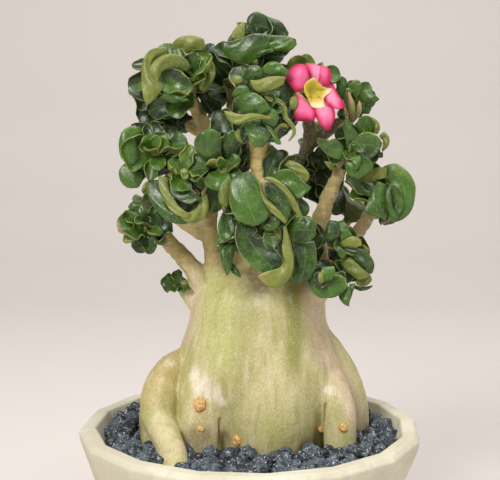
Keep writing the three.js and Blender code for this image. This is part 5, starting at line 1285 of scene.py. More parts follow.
# Low tones in these rows are painted shade: the hollows of cups, shaded sides and leaves deep in the head.
LEAF_SHEETS = {"head_front": [
    ((-68, -78), 2.2, (0.3, 0.55, 0.35, 0.6), [249, 170.5, 256, 177, 260, 186, 263, 195, 268, 203, 269.5,
     212, 266, 219.5, 259, 225], [238, 174, 231, 180, 229.5, 190, 229, 200, 231, 209, 236, 218, 244, 223.5,
     252, 226]),
    ((-72, -80), 0.8, (0.6, 0.9), [259, 180, 261.8, 190, 265.5, 197.5, 271.5, 203, 277.5, 209, 283, 215,
     287.5, 221], [258, 181, 260, 191, 262.6, 200, 266.5, 207, 272, 213, 278.5, 218.5, 285, 224], True),
    ((-70, -76), -1, (0.15, 0.3, 0.05, 0.3), [272, 182, 279, 187, 286, 195, 290, 204, 290.5, 212, 287.5,
     220], [265, 183, 264, 192, 267, 200, 273, 207, 280, 213, 286, 220]),
    ((-72, -78), 1, (0.85, 0.7, 0.8, 0.75), [264, 177.5, 270, 176.5, 277, 179.5, 284, 184.5, 290, 191.5,
     295.5, 200, 300, 210, 303.5, 219], [264, 180, 270, 181.5, 276, 185, 282.5, 191, 288, 199, 292, 207,
     296.5, 214, 301.5, 219.5], True),
    ((-66, -72), -1.5, (0.4, 0.4, 0.65, 0.7), [271, 176, 277, 171.5, 285, 169, 293, 171, 300, 177.5, 306,
     183.5, 311.5, 187], [273, 178, 280, 181.5, 287, 186.5, 293, 193, 298, 198.5, 303, 196, 309.5, 189.5]),
    ((-58, -62), 1, (0.6, 0.75, 0.5, 0.6), [289, 160, 298, 163, 305, 168, 309.5, 175, 308, 181], [284, 165,
     290, 169, 296, 174, 300, 178, 304, 183], True),
    ((-64, -67), -0.8, (0.2, 0.4), [299, 196, 303, 199, 308.5, 204, 309.5, 211, 305, 218], [297, 198, 298,
     203, 299, 208, 300, 213.5, 302, 218.5]),
    ((-70, -76), 1, (0.02, 0.1, 0.45, 0.5), [263, 220, 267, 218, 271, 216.5, 275.5, 216.5, 279.5, 220],
     [260, 225, 264, 229.5, 270, 231.5, 276, 229, 280, 223]),
    ((-66, -70), 0.6, (0.75, 0.9, 0.7, 0.8), [275, 226, 279.5, 227, 281.5, 233, 281, 240], [270, 229, 271,
     233, 275, 237, 279.5, 241], True),
    ((-70, -78), -2.2, (0.12, 0.02, 0.12, 0.6), [253, 225, 256, 232, 264, 238.5, 272, 245.5, 279, 253, 283,
     261, 279, 268.5], [236, 223, 234.5, 234, 236, 244, 240, 254, 247, 262.5, 256, 269, 266, 274.5]),
    ((-74, -82), 1.6, (0.7, 1, 0.62, 0.8), [286, 225, 289, 236, 291.8, 247, 293.75, 259, 293, 270, 287.5,
     281, 278, 287.5, 268, 286.5, 259.5, 279], [283, 226, 283, 237, 281.8, 247, 282.5, 255, 283.5, 262,
     279.5, 267.5, 272, 270, 264.5, 272, 257.5, 276], True),
    ((-66, -73), 2, (0.2, 0.35, 0.2, 0.3), [288, 225, 295, 219, 303, 216, 311, 218, 316.5, 224], [287, 234,
     292, 240.5, 300, 242.5, 309, 241.5, 315.5, 236]),
    ((-62, -68), 1.5, (0.35, 0.25, 0.2, 0.15), [314, 241, 316.5, 253, 316, 266, 311, 277, 302, 283], [292,
     241, 294, 252, 293, 264, 292, 275, 292, 284]),
    ((-62, -70), -1, (0.02, 0.35, 0.02, 0.5), [236, 212, 236, 219, 235.5, 226, 234.5, 232, 231.5, 237,
     227.5, 239.5], [230, 207, 222, 213, 218.5, 222, 217.5, 231, 221, 238, 226, 239.5]),
    ((-60, -67), 0.8, (0.3, 0.4, 0.3, 0.45), [238, 243, 236, 249, 234, 256, 232.5, 263, 230.5, 270, 227.5,
     275.5], [234, 241, 226, 245.5, 220.5, 251, 220.5, 259, 223, 268, 226.5, 275.5]),
    ((-58, -62), 0.6, (0.35, 0.3), [229, 243, 227, 247, 223, 250.5, 219, 252.5], [226, 240, 220, 240, 216,
     245, 217.5, 252]),
    ((-58, -62), 0.6, (0.5, 0.4), [232, 262, 237, 268, 241.5, 276], [229, 266, 232, 273, 240, 278]),
    ((-62, -66), 1.2, (0.4, 0.4, 0.55, 0.5), [231, 181, 230, 188, 229.5, 195, 229.5, 202, 227, 207], [226,
     178, 221, 184, 218.5, 193, 219, 202, 224, 207], True),
], "head_left_inner": [
    ((-46, -60), 2, (0.2, 0.3, 0.3, 0.35), [162, 179, 165, 190, 170, 200, 176, 209, 183, 216, 191, 221],
     [147, 181, 147.5, 192, 152, 204, 160, 215, 171, 222.5, 186, 224.5]),
    ((-50, -63), 0.6, (0.55, 0.75, 0.6, 0.85), [167.5, 177, 169, 188, 173, 197.5, 178.5, 205.5, 185, 211,
     191, 214.5], [158, 176, 159, 187, 163, 198, 168.5, 208, 177, 215.5, 188, 219.5], True),
    ((-52, -62), 1, (0.6, 0.8), [207, 194, 209, 205, 206.5, 215, 199, 221.5, 189, 223, 181, 218], [198, 198,
     198.5, 204, 196, 208, 191, 211.5, 185.5, 213, 180, 211], True),
    ((-50, -58), -1.5, (0.2, 0.15, 0.3, 0.5), [176, 180, 184, 184, 190, 188, 196, 192, 200, 197], [168, 186,
     172, 195, 180, 201, 190, 204, 199, 200]),
], "head_top_left": [
    ((-24, -41), 1.6, (0.5, 0.66, 0.66, 0.74), [168, 55, 158, 58.5, 152.5, 64, 153, 73, 158, 80.5, 164,
     84.5, 158, 96, 147.5, 105.5], [168, 47.5, 157, 47.5, 148, 51.5, 143, 61, 141.5, 73, 141.5, 86, 143, 96,
     146, 105], True),
    ((-34, -45), 1.4, (0.1, 0.6, 0.6, 0.72), [188, 72, 183, 70.5, 177, 69, 170, 68.5, 165, 70, 161.5, 72.5,
     159.5, 75.5, 158.5, 78.5, 158.5, 81.5], [191, 67, 187, 60, 180, 55.5, 171, 53.5, 161, 56, 153.5, 61.5,
     150, 69, 151, 76, 156, 81.5], True),
    ((-36, -40), -3, (0, 0.15, 0.6, 0.75), [160, 72, 165, 69, 172, 68.5, 180, 70.5, 186, 75.5, 191, 82,
     193.5, 88], [164, 84, 168, 89, 172, 93, 177, 96.5, 182, 97.5, 187, 96, 191.5, 91]),
    ((-38, -41), 1, (0.5, 0.55, 0.2, 0.2), [159, 98, 165, 93.5, 172, 93.5, 180, 96, 188, 99], [166, 101,
     171, 103, 177, 103, 183, 102, 188.5, 100.5]),
    ((-14, -26), 1.2, (0.6, 0.62, 0.5, 0.6), [200, 50, 208, 53, 213.5, 63, 215.5, 73, 212, 83, 204, 92],
     [197, 57, 202, 62, 204.5, 69, 205, 77, 203.5, 84, 200.5, 90], True),
    ((-26, -30), 0.8, (0.4, 0.4, 0.75, 0.6), [189, 70, 194, 73, 199.5, 78, 203, 83, 203, 89], [186, 72, 190,
     75, 195, 81, 199, 87, 201, 91], True),
    ((-18, -24), 1.5, (0.3, 0.4, 0.45, 0.5), [192, 66, 194, 60, 200, 56.5, 206, 60, 207.5, 68], [190, 70,
     193, 73.5, 198, 75, 203, 73, 206.5, 70]),
    ((2, -3), 2, (0.6, 0.66, 0.55, 0.6), [171, 50, 174, 41, 183, 36, 194, 35.5, 204, 39], [178, 54, 184,
     53.5, 191, 54, 199, 54, 206, 49], True),
], "head_far_right": [
    ((-20, -28), 1.5, (0.95, 0.3, 0.72, 0.35), [380, 168.5, 388, 164.5, 396, 163.5, 404, 168, 411, 175.5,
     415.5, 186, 415, 198, 412.5, 209, 405, 218, 396, 222, 388, 220.5], [383, 177, 388, 181, 390, 183, 392,
     187, 392, 191, 392, 195, 392, 199, 391.5, 203, 391, 207, 390, 212, 388, 217]),
    ((-30, -33), -1.5, (0.4, 0.45, 0.1, 0.3), [387, 187, 391, 184, 396, 185, 400, 189, 402, 196, 403.5, 204,
     401.5, 211, 397.5, 215], [388.5, 191, 391, 191, 393, 194, 394.5, 199, 395, 204, 395.5, 208, 395.5, 212,
     396, 215]),
    ((-31, -34), 1, (0.2, 0.3, 0.45, 0.5), [391.5, 187, 391.5, 195, 392.5, 203, 395, 211, 398, 218], [387,
     188, 386, 196, 386.5, 204, 388.5, 212, 393, 219]),
    ((-24, -31), 1.5, (0.35, 0.35, 0.5, 0.42), [385, 184, 386, 192, 386, 200, 386.5, 208, 387, 215, 385,
     220.5], [378, 181, 374, 188, 370, 196.5, 366.5, 205, 365, 213, 376, 216]),
    ((-18, -25), 1.2, (0.75, 0.85, 0.65, 0.8), [360, 176.5, 366, 172.5, 373, 169, 380, 167, 387, 168], [362,
     181.5, 368, 181.5, 375, 180.5, 381, 179, 386, 178], True),
    ((-18, -24), 1.2, (0.3, 0.4, 0.35, 0.55), [372, 182, 374.5, 186, 375.5, 190, 374.5, 194], [360, 182,
     361, 189, 366, 196, 372, 195]),
    ((-14, -20), 0.6, (0.1, 0.2), [383, 211, 387, 217, 388, 222], [377, 214, 381, 220, 386, 223.5]),
], "head_middle_left": [
    ((-48, -54), 2.2, (0.3, 0.35, 0.3, 0.4), [212, 164, 203, 160, 196, 151, 194, 141, 200, 132, 209, 129],
     [224, 163, 222, 157, 221, 149, 221, 141, 220, 134, 213, 129]),
    ((-44, -50), 1.5, (0.1, 0.2), [222, 160, 221, 150, 222, 141, 226, 133, 233, 130], [230, 162, 235, 155,
     239, 148, 241, 141, 238, 133]),
], "head_upper_middle": [
    ((-50, -54), 1, (0.85, 0.7, 0.3, 0.3), [262, 68, 267, 63, 274, 61.5, 282, 65, 290, 73], [263, 73, 268,
     75, 274, 76, 281, 76, 287, 76]),
    ((-56, -60), 1.8, (0.8, 0.8, 0.6, 0.65), [250, 80, 258, 80, 266, 77.5, 275, 76, 286, 77], [250, 84, 256,
     91, 264, 92.5, 273, 90, 283, 85], True),
    ((-46, -50), 1.5, (0.3, 0.35, 0.2, 0.2), [243, 77, 245, 70, 252, 65.5, 259, 66, 263, 71], [247, 81, 252,
     81.5, 256, 81, 260, 80, 263, 77]),
    ((-50, -53), 1.2, (0.95, 0.95, 0.75, 0.8), [231, 78, 235, 75.5, 240, 76, 243, 79], [231.5, 81, 235, 84,
     239, 83.5, 242.5, 81], True),
    ((-50, -55), 1, (0.6, 0.55, 0.35, 0.4), [232, 96, 233.5, 90, 239, 85.5, 246, 86, 250, 91], [236, 98,
     240, 97, 244, 96, 248, 95, 251, 94]),
    ((-54, -62), 2, (0.35, 0.4, 0.45, 0.5), [235, 98, 243, 94, 252, 92.5, 260, 95.5, 266, 101, 270, 107],
     [237, 105, 241, 111, 248, 114.5, 256, 115, 264, 113.5, 269, 110]),
    ((-60, -66), 1.2, (1, 0.7, 0.7, 0.6), [223.5, 110.5, 232, 112, 242, 114.5, 252, 113, 262, 114.5, 271,
     117], [225, 114, 229, 121, 237, 125, 246, 123, 257, 119.5, 270, 119], True),
    ((-56, -63), 1.2, (0.02, 0.35, 0.65, 0.6), [262, 121, 268, 129, 270, 138, 263, 147], [243, 125, 246,
     132, 249.5, 139, 254, 147.5]),
    ((-56, -60), 1.2, (0.55, 0.5, 0.5, 0.55), [268, 106, 275, 110, 279, 118, 276, 126], [260, 112, 261, 117,
     264, 122, 271, 126]),
    ((-56, -62), 0.8, (0.45, 0.6, 0.5, 0.75), [268, 122, 273, 129, 276, 136, 278.5, 140, 281, 141], [262,
     121, 267, 129, 272, 137, 276, 144, 281, 144.5]),
    ((-52, -62), 0.5, (0.6, 0.7, 0.6, 0.8), [271, 88.5, 268, 92, 269, 96.5, 273, 98, 279.5, 98.5, 284.5,
     103, 287.5, 109, 287.5, 116, 291, 120.5, 295, 126, 296, 134, 289.5, 141.5], [268, 87.5, 264, 92, 265,
     98, 271, 102, 277.5, 102.5, 281.5, 106, 283.5, 112, 283.5, 118, 287.5, 123, 292, 128, 292, 134, 288,
     141], True),
    ((-54, -60), 0.5, (0.7, 0.6, 0.5, 0.6), [279, 144, 274, 138, 274, 131, 278, 125.5, 284, 123, 289, 126],
     [280.5, 141, 277.75, 136, 277.75, 131.5, 281, 128, 284.5, 127, 287, 129], True),
    ((-50, -54), 0.6, (0.4, 0.4, 0.6, 0.6), [243, 130, 240.5, 134, 241, 138, 244, 142], [238, 128.5, 234.5,
     134, 237, 140, 243, 144], True),
    ((-48, -50), 0.6, (0.7, 0.7, 0.8, 0.8), [296, 96, 298, 103, 296, 110], [291, 97, 289, 103, 291,
     109.5], True),
], "head_left": [
    ((-34, -40), 1.5, (0.15, 0.3, 0.8, 0.6), [143, 133, 138, 138, 137, 145, 138, 152, 137, 159, 133, 165.5],
     [140, 127.5, 129, 126.5, 121, 133, 118.5, 145, 121, 158, 129, 166]),
    ((-32, -36), 1.2, (0.2, 0.3, 0.62, 0.6), [134, 165, 140, 169, 143, 175, 142.5, 181, 139, 187], [125,
     163, 119, 170, 120, 181, 127.5, 188, 137, 188]),
    ((-40, -44), -1.2, (0.55, 0.5, 0.3, 0.4), [152, 146, 153, 140, 159, 136.5, 167, 138, 170, 144], [156,
     150, 159, 152, 163, 152.5, 167, 151, 169, 147]),
], "head_right": [
    ((-34, -42), -1.5, (0.5, 0.42, 0.65, 0.3), [345, 153, 340, 159, 332, 157.5, 324, 152, 317.5, 143.5],
     [344, 147, 338, 141, 330, 140, 323, 139, 317, 137.5]),
    ((-34, -40), 1.2, (0.4, 0.45, 0.55, 0.4), [347, 149, 345, 138, 343.4, 127, 345.5, 116], [353, 144,
     358.5, 135, 352, 126, 348, 117.5]),
    ((-36, -42), -1.5, (0.45, 0.68, 0.1, 0.25), [350, 144, 355, 137, 362, 133, 370, 132, 377, 135.5, 382.5,
     143], [352, 150, 358, 153, 364, 156.5, 370, 158, 376.5, 154, 381.5, 147]),
    ((-28, -32), 0.8, (0.75, 0.8, 0.55, 0.6), [379, 136, 384, 131.5, 388.5, 136, 389.75, 142, 387.5, 147.5,
     382.5, 152], [381, 139, 382.5, 140.5, 383, 142, 383, 144, 382.5, 147, 381.5, 150], True),
    ((-34, -38), 1.8, (0.3, 0.4, 0.5, 0.45), [361, 153, 368.5, 158, 373, 164, 371, 170.5, 364, 176.5], [349,
     155, 345.5, 162, 345.5, 169, 349.5, 175.5, 357, 179]),
    ((-38, -42), 1, (0.55, 0.4, 0.65, 0.5), [361, 154.5, 361, 161, 358.5, 168.5], [350, 156, 352, 163,
     354.5, 170]),
    ((-28, -32), -1.2, (0.5, 0.5, 0.25, 0.3), [360, 135, 356.8, 127, 358, 119.5, 363, 115.5, 369.5, 116],
     [366, 134.5, 371, 131, 373, 127, 373, 122, 371.5, 118]),
    ((-24, -28), 0.8, (0.6, 0.65, 0.35, 0.4), [369, 117, 374, 118, 379.5, 123.5, 380, 129], [370, 124, 372,
     129, 374.5, 133.5, 378, 134], True),
    ((-26, -28), 0.6, (0.2, 0.25), [374, 153, 379, 151.5, 383, 152.5], [375, 158, 379, 158, 383, 157.5]),
    ((-20, -24), 0.6, (0.65, 0.65, 0.8, 0.75), [330, 161.5, 335.5, 165, 337.5, 169.5], [324, 161, 326.5,
     166, 331, 170.5], True),
], "head_upper_right": [
    ((0, -6), 1.2, (0.25, 0.4, 0.35, 0.4), [357, 95, 362, 89.5, 369, 90.5, 375, 94.5, 379.5, 99], [357.5,
     101, 362, 103, 367, 105, 373, 103.5, 378, 101]),
    ((0, -4), 1.2, (0.35, 0.65, 0.5, 0.65), [352, 98, 348, 90, 350, 83, 356, 79.5], [358, 99, 361.5, 93,
     362.5, 86, 359, 80]),
    ((0, -4), 0.8, (0.3, 0.4, 0.35, 0.45), [346, 122, 343.5, 110, 344, 98, 346.5, 88], [353, 120, 352.5,
     110, 351.5, 99, 351, 89]),
    ((2, 0), 0.8, (0.1, 0.35, 0.06, 0.3), [371.5, 104, 371.5, 109, 369, 114], [357.5, 101, 356, 107, 358,
     114]),
    ((4, 0), 0.8, (0.3, 0.5, 0.4, 0.5), [338, 92, 336, 83, 339, 75.5, 344, 77], [345.5, 99, 347, 92, 348,
     85, 346, 78.5]),
], "head_low_right": [
    ((-40, -44), 1.5, (0.2, 0.3, 0.25, 0.35), [337, 221, 340, 228, 340, 235, 334.5, 240.5], [329, 220,
     325.5, 228, 324.5, 236, 327.5, 240.5]),
    ((-36, -42), 1, (0.5, 0.55, 0.55, 0.5), [343.5, 220, 349, 229, 353, 237], [335, 222, 339, 232, 341,
     241]),
    ((-42, -46), 0.8, (0.8, 1, 0.7, 0.95), [340, 243, 346, 238.5, 353, 236, 361, 239.5], [342, 247, 348,
     247, 355, 248, 362, 245.5], True),
    ((-38, -42), 0.6, (0.55, 0.6, 0.5, 0.5), [358, 246, 364, 244.5, 370, 250], [359, 251, 363, 252.5, 368.5,
     253], True),
    ((-40, -46), 2.6, (0.12, 0.2, 0.12, 0.35), [342, 247, 352, 247, 362, 249, 370, 255, 374.5, 264, 373,
     272], [343, 256.5, 350, 259, 356, 264.5, 361, 269.5, 366, 273, 371, 274]),
    ((-42, -48), 1.2, (0.55, 0.6, 0.6, 0.9), [342, 256.5, 350, 257.5, 355.5, 262, 362, 268, 371, 275],
     [339.5, 261, 344.5, 269, 351, 275, 358, 279.5, 366, 278], True),
    ((-38, -42), 0.8, (0.75, 0.85, 0.6, 0.7), [355, 280.5, 361, 277, 367, 273.5, 371.5, 277], [357, 285,
     363, 286.5, 368, 285, 372, 280.5], True),
    ((-34, -38), 0.8, (0.06, 0.3, 0.1, 0.3), [352, 284, 359, 286, 366, 286.5, 372.5, 285], [354, 288.5, 360,
     291, 367, 290, 372, 287]),
    ((-44, -47), 0.6, (0.35, 0.4, 0.45, 0.5), [338.5, 245.5, 344, 250, 346.5, 256], [332, 247, 336.5, 252,
     341, 260]),
], "head_low_front": [
    ((-58, -64), 1.6, (0.4, 0.45, 0.25, 0.6), [327, 270, 339, 274, 346, 279, 346.5, 286.5, 342.5, 292.5,
     335.5, 297], [313, 275.5, 306.5, 279, 307.5, 286.5, 313, 293.5, 321, 298, 331, 298]),
    ((-65, -67), -0.8, (0.02, 0.1), [317, 272, 317, 278, 320, 282, 324, 283, 327.5, 281], [312, 273, 311,
     280, 315, 286.5, 322, 288.5, 328.5, 284]),
    ((-66, -68), 0.8, (0.6, 0.4, 0.5, 0.65), [334, 266, 335.5, 273, 331, 280.5], [322, 267, 320.5, 275,
     322.5, 282]),
    ((-68, -70), 0.6, (0.6, 0.7, 0.75, 0.8), [323, 271.5, 324, 277, 323.5, 282.5], [319, 272, 317.5, 278.5,
     320, 283.5], True),
    ((-56, -60), 1, (0.4, 0.5, 0.45, 0.55), [347, 284, 351, 290, 350.5, 297, 349, 306], [338, 291, 339, 298,
     343, 303.5, 348, 306.5]),
    ((-52, -54), 0.6, (0.35, 0.4), [356, 283, 354, 289, 351, 298], [349, 284, 350, 292, 350, 300]),
], "head_top": [
    ((2, 6), 2, (0.22, 0.14, 0.05, 0.1), [247.5, 33, 247.4, 18, 256.5, 11.5, 268.4, 16.6, 281, 21.5, 289,
     33], [248.5, 37, 252, 38, 258, 39, 266, 39, 276, 39, 287, 39]),
    ((-6, 0), 1.2, (0.7, 0.85, 0.55, 0.75), [230.5, 38.5, 233, 31, 239.5, 24, 243.5, 22.3], [240, 41, 244.5,
     36, 245.5, 28.5, 244.5, 23], True),
    ((-16, -20), 3, (0.16, 0.2, 0.42, 0.5), [221.5, 42, 228.4, 41.4, 236, 40.25, 243.6, 36.8, 253.25, 33.5,
     262.8, 33.8, 270, 38], [221.6, 47, 225, 54.8, 232, 60.75, 241.8, 64.2, 250.5, 63, 258.5, 58, 267,
     48.5]),
    ((-13, -16), 2, (0.2, 0.25, 0.4, 0.5), [256, 33.75, 265, 34, 276, 35.5, 286, 35.6, 295.8, 39], [262, 45,
     270, 48.5, 279, 50, 289, 51, 296.8, 45]),
    ((-18, -20), 0.8, (0.6, 0.7, 0.45, 0.5), [263, 44, 272, 41.5, 282, 42.75, 291, 39, 295, 42], [265, 48.5,
     273, 50.5, 282, 51, 290, 51, 295.4, 46.6]),
    ((-20, -22), 0.6, (0.45, 0.5, 0.3, 0.4), [252, 56.5, 262, 50, 272, 48.5], [255, 60, 265, 54.5, 274,
     51.5]),
]}


def seen_at(column, row, depth):
    """The place that the camera sees at a pixel, to a tenth of a millimetre, when its depth is known."""
    right, up = (column - PHOTO_WIDTH / 2) / FOCAL_PIXELS, (PHOTO_HEIGHT / 2 - row) / FOCAL_PIXELS
    away = (depth - EYE[1]) / (math.cos(CAMERA_PITCH) + up * math.sin(CAMERA_PITCH))
    height = EYE[2] + away * (up * math.cos(CAMERA_PITCH) - math.sin(CAMERA_PITCH))
    return round(away * right, 1), depth, round(height, 1)


def edge_line(pixels, start, end):
    """The places of an edge line, whose depth reaches the tip's before its last quarter."""
    last = len(pixels) // 2 - 1
    depths = [start + (end - start) * min(1, TIP_DEPTH_RATE * k / last) for k in range(last + 1)]
    return [seen_at(*spot) for spot in zip(pixels[::2], pixels[1::2], depths)]


def sheet_leaf(depths, bow, tones, near, far, under=False):
    """A leaf between two edge lines, with what its material needs to know at each point."""
    edges = edge_line(near, *depths), edge_line(far, *depths)
    made_sheet = sheet_mesh(*edges, bow, TO_THE_FRONT, LEAF_THICKNESS, step=2, wave=0.7)
    points, faces, along, across, side = made_sheet
    near_tone = tones[0] + (tones[1] - tones[0]) * along
    far_tone = tones[-2] + (tones[-1] - tones[-2]) * along
    tone = near_tone + (far_tone - near_tone) * (across + 1) / 2
    pale_side = side > 0 if under else side < 0
    odd = 0.9 if max(tones) > RUST_TONE else 0
    place = {"along": along, "across": across, "under": pale_side}
    return points, faces, numbers_at(points, LEAF_NUMBERS, tone=tone, odd=odd, **place)


print("leaves with a shape of their own:", sum(len(sheets) for sheets in LEAF_SHEETS.values()))


# %% Keep blades out of the branches
SEGMENTS = [(a, b) for path in BRANCHES.values() for a, b in zip(path, path[1:])]
BRANCH_MARGIN = 2.2


def clear_of_branches(points, s):
    """Pushes points of a blade out of the branches, all but its stalk end."""
    share = np.clip((s - 0.1) / 0.3, 0, 1)
    share = share * share * (3 - 2 * share)
    for a, b in SEGMENTS:
        start, way = np.array(a[:3]), np.array(b[:3]) - np.array(a[:3])
        t = np.clip((points - start) @ way / way.dot(way), 0, 1)[:, None]
        off = points - (start + t * way)
        away = np.maximum(np.linalg.norm(off, axis=1)[:, None], 1e-6)
        missing = np.maximum(a[3] + t * (b[3] - a[3]) + BRANCH_MARGIN - away, 0)
        points = points + off / away * missing * share
    return points


def nearest_on(paths, point):
    best = None
    for path in paths:
        for a, b in zip(path, path[1:]):
            a, b = np.array(a, float), np.array(b, float)
            t = np.clip((point - a).dot(b - a) / (b - a).dot(b - a), 0, 1)
            spot = a + t * (b - a)
            if best is None or np.linalg.norm(spot - point) < np.linalg.norm(best - point):
                best = spot
    return best


# %% [markdown]
# A photo shows one side of a head. The leaves that it hides follow two rules: a heart of small
# upright leaves round the tip of the shoot, set out by the golden angle as the plant itself does, and
# further leaves wherever a direction round the head is still bare.

# %% Leaves that the photo hides
OUTER_LEAN = 1.6
INNER_LEAN = 0.35
TRIED_DIRECTIONS = 40


def rosette(base, axis, radius, seed, count, first=0.0, width=0.78):
    """Leaves by the golden angle: outer ones long and leaning out, inner ones short and cupped."""
    base, axis = np.asarray(base, float), unit(axis)
    u = unit(np.cross((0, 0, 1), axis))
    w = np.cross(axis, u)
    leaves = []
    for i in range(count):
        inner = first + (1 - first) * i / max(count - 1, 1)
        jitter = lambda k: draw(seed + i, k) - 0.5
        azimuth = i * GOLDEN_ANGLE + seed
        lean = OUTER_LEAN + (INNER_LEAN - OUTER_LEAN) * inner + 0.5 * jitter(1)
        outward = u * math.cos(azimuth) + w * math.sin(azimuth)
        along = axis * math.cos(lean) + outward * math.sin(lean)
        face = axis * math.sin(lean) - outward * math.cos(lean)
        length = radius * (1.35 - 0.55 * inner) * (1 + 0.2 * jitter(2))
        start = base + axis * (0.15 + 0.25 * inner) * radius
        wide = length * width * (1 + 0.2 * jitter(3))
        bend, fold = 1 - 1.3 * inner + 0.8 * jitter(4), 0.1 + 0.7 * inner
        tone = 0.12 + 0.5 * inner + 0.25 * jitter(5)
        leaves.append(blade_between(start, start + along * length, face, wide, bend, fold, seed + i, tone))
    return leaves


def bare_directions(leaves, axis, seed, apart=0.72):
    """Directions round a head, not back along its branch, that no leaf points to yet."""
    taken = [unit(b["along"]) for b in leaves]
    found = []
    for i in range(TRIED_DIRECTIONS):
        z = 1 - 2 * (i + 0.5) / TRIED_DIRECTIONS
        turn = i * GOLDEN_ANGLE + seed
        way = np.array([math.sqrt(1 - z * z) * math.cos(turn), math.sqrt(1 - z * z) * math.sin(turn), z])
        if way.dot(axis) < -0.45 or way[1] < -0.6:
            continue
        if all(way.dot(t) < math.cos(apart) for t in taken + found):
            found.append(way)
    return found


def filler_leaves(leaves, tip, axis, seed):
    """Leaves of the head's usual size in its bare directions. Their low tones are painted shade."""
    size = np.median([b["length"] for b in leaves])
    out = []
    for i, way in enumerate(bare_directions(leaves, axis, seed)):
        chance = seed * 7 + i
        jitter = lambda k: draw(chance, k) - 0.5
        face = unit(axis + np.array([0, -0.4, 0.5]) + 0.4 * np.array([jitter(1), jitter(2), jitter(3)]))
        if abs(face.dot(way)) > 0.9:
            face = unit(face + np.cross(way, (0.3, 0.2, 1)))
        length = size * (0.8 + 0.3 * jitter(4))
        tone = 0.08 + 0.3 * draw(chance, 5)
        bend, fold = 0.7 + 0.8 * jitter(6), 0.3 + 0.6 * jitter(7)
        out.append(blade_between(tip, tip + way * length, face, length * 0.85, bend, fold, chance, tone))
    return out


print("rules for hidden leaves ready")

# %% Leaf shoots
LISTED_WIDTH = 1.4
MORE_BEND = 1.2
MORE_FOLD = 1.5
LEAST_FOLD = 0.7
CROWN_RADIUS = 4.5
STALK_RADIUS = 3.8
SIDE_STALK_RADIUS = 3.0
SHORTENED = 0.6
SHADED = {"head_top": 0.5, "head_front": 0.8, "head_upper_middle": 0.85}
INNER_ROSETTE = {
    "head_left_inner": 5, "head_left": 5, "head_low_left": 6, "head_middle_left": 6,
    "head_far_right": 6, "head_right": 6, "head_low_right": 6, "head_low_front": 5, "head_upper_right": 6,
    "head_top": 5,
}

# Between the heads the photo shows open air. Each line of sight is given as its slopes to the right
# and upwards from the EYE, and a half width; leaves of the heads at the back keep out of them.
OPEN_SIGHTS = [
    (-0.0567, -0.0326, 0.007), (0.0373, -0.0430, 0.009), (0.0452, -0.0290, 0.007), (0.0606, -0.0470, 0.005),
    (0.0873, -0.1078, 0.007), (0.1085, -0.1210, 0.007), (0.1085, -0.1340, 0.005),
]


def in_open_air(leaf):
    """Whether the middle or the tip of a leaf shows against the open air."""
    for share in (0.5, 0.9):
        across, away, up = leaf["base"] + leaf["along"] * leaf["length"] * share - EYE
        for slope_right, slope_up, half_width in OPEN_SIGHTS:
            gap = math.hypot(across / away - slope_right, up / away - slope_up)
            if gap < half_width + 0.2 * leaf["width"] / away:
                return True
    return False


def listed_head(name, index):
    """The blades and stalks of a head that shows in the photo."""
    paths = [SHOOTS[name]] + SIDE_SHOOTS.get(name, [])
    leaves = []
    for k, row in enumerate(LEAVES[name]):
        if len(row) == 8:
            row = (*row[:6], *PLAIN_FACING, row[6], *PLAIN_BEND_AND_FOLD, row[7])
        width, curl, cup, tone = row[9:13]
        shape = row[13] if len(row) > 13 else {}
        start = nearest_on(paths, np.array(row[:3]))
        fold = math.copysign(max(abs(cup) * MORE_FOLD, LEAST_FOLD), cup)
        wide = width * LISTED_WIDTH * (1 + 0.1 * abs(fold))
        seed, tone = 100 * index + k, tone * SHADED.get(name, 1)
        given = (row[3:6], row[6:9], wide, curl * MORE_BEND, fold, seed, tone)
        leaves.append(blade_between(start, *given, **shape))
    tip = np.array(paths[0][-1], float)
    axis = unit(tip - np.array(paths[0][0]))
    if name != "sprout":
        leaves += filler_leaves(leaves, np.array(paths[0][1], float), axis, index)
        leaves += rosette(tip - axis * 3, axis, INNER_ROSETTE.get(name, 9), 50 * index + 5, 6, 0.45, 0.7)
    stalks = [[(*paths[0][0], STALK_RADIUS)] + [(*p, CROWN_RADIUS) for p in paths[0][1:]]]
    stalks += [[(*p, SIDE_STALK_RADIUS) for p in path] for path in paths[1:]]
    return leaves, stalks


def rear_head(base, axis, radius, seed):
    """The blades and the stalk of a head at the back."""
    leaves = rosette(base, axis, radius, seed, 6)
    axis = unit(axis)
    leaves += filler_leaves(leaves, np.array(base) + axis * 0.3 * radius, axis, seed)
    tip = np.array(base) + axis * 0.5 * radius
    leaves += rosette(tip, axis, 9, seed + 11, 6, 0.45, 0.7)
    leaves = [leaf | {"length": leaf["length"] * SHORTENED} if in_open_air(leaf) else leaf for leaf in leaves]
    leaves = [leaf for leaf in leaves if not in_open_air(leaf)]
    return leaves, [[(*base, STALK_RADIUS), (*tip, CROWN_RADIUS)]]


def head_piece(name, leaves, stalks):
    """All of a head as one piece. Stalks at the back stay dark: painted shade."""
    parts = [blade_mesh(leaf, clear_of_branches) for leaf in leaves]
    parts += [stalk_mesh(path, 0.3 if "rear" in name else 1) for path in stalks]
    parts += [sheet_leaf(*sheet) for sheet in LEAF_SHEETS.get(name, [])]
    return make_piece(f"{name}_leaves", *join(parts))


# %% [markdown]
# The leaf finish reads the numbers that each blade carries. The upper side runs from dark to bright
# green by the leaf's tone, and its near-black end is painted shade; the margin and the midrib are
# pale, and the underside is a light olive.
# A wax coat gives the broad cool highlights that show on the real leaves.

# %% Leaf finish
waxy = Finish("waxy_leaf", roughness=0.33)
tone = waxy.sums("ADD", "tone", waxy.band(waxy.cloud(9), 0.3, 0.7, -0.14, 0.14))
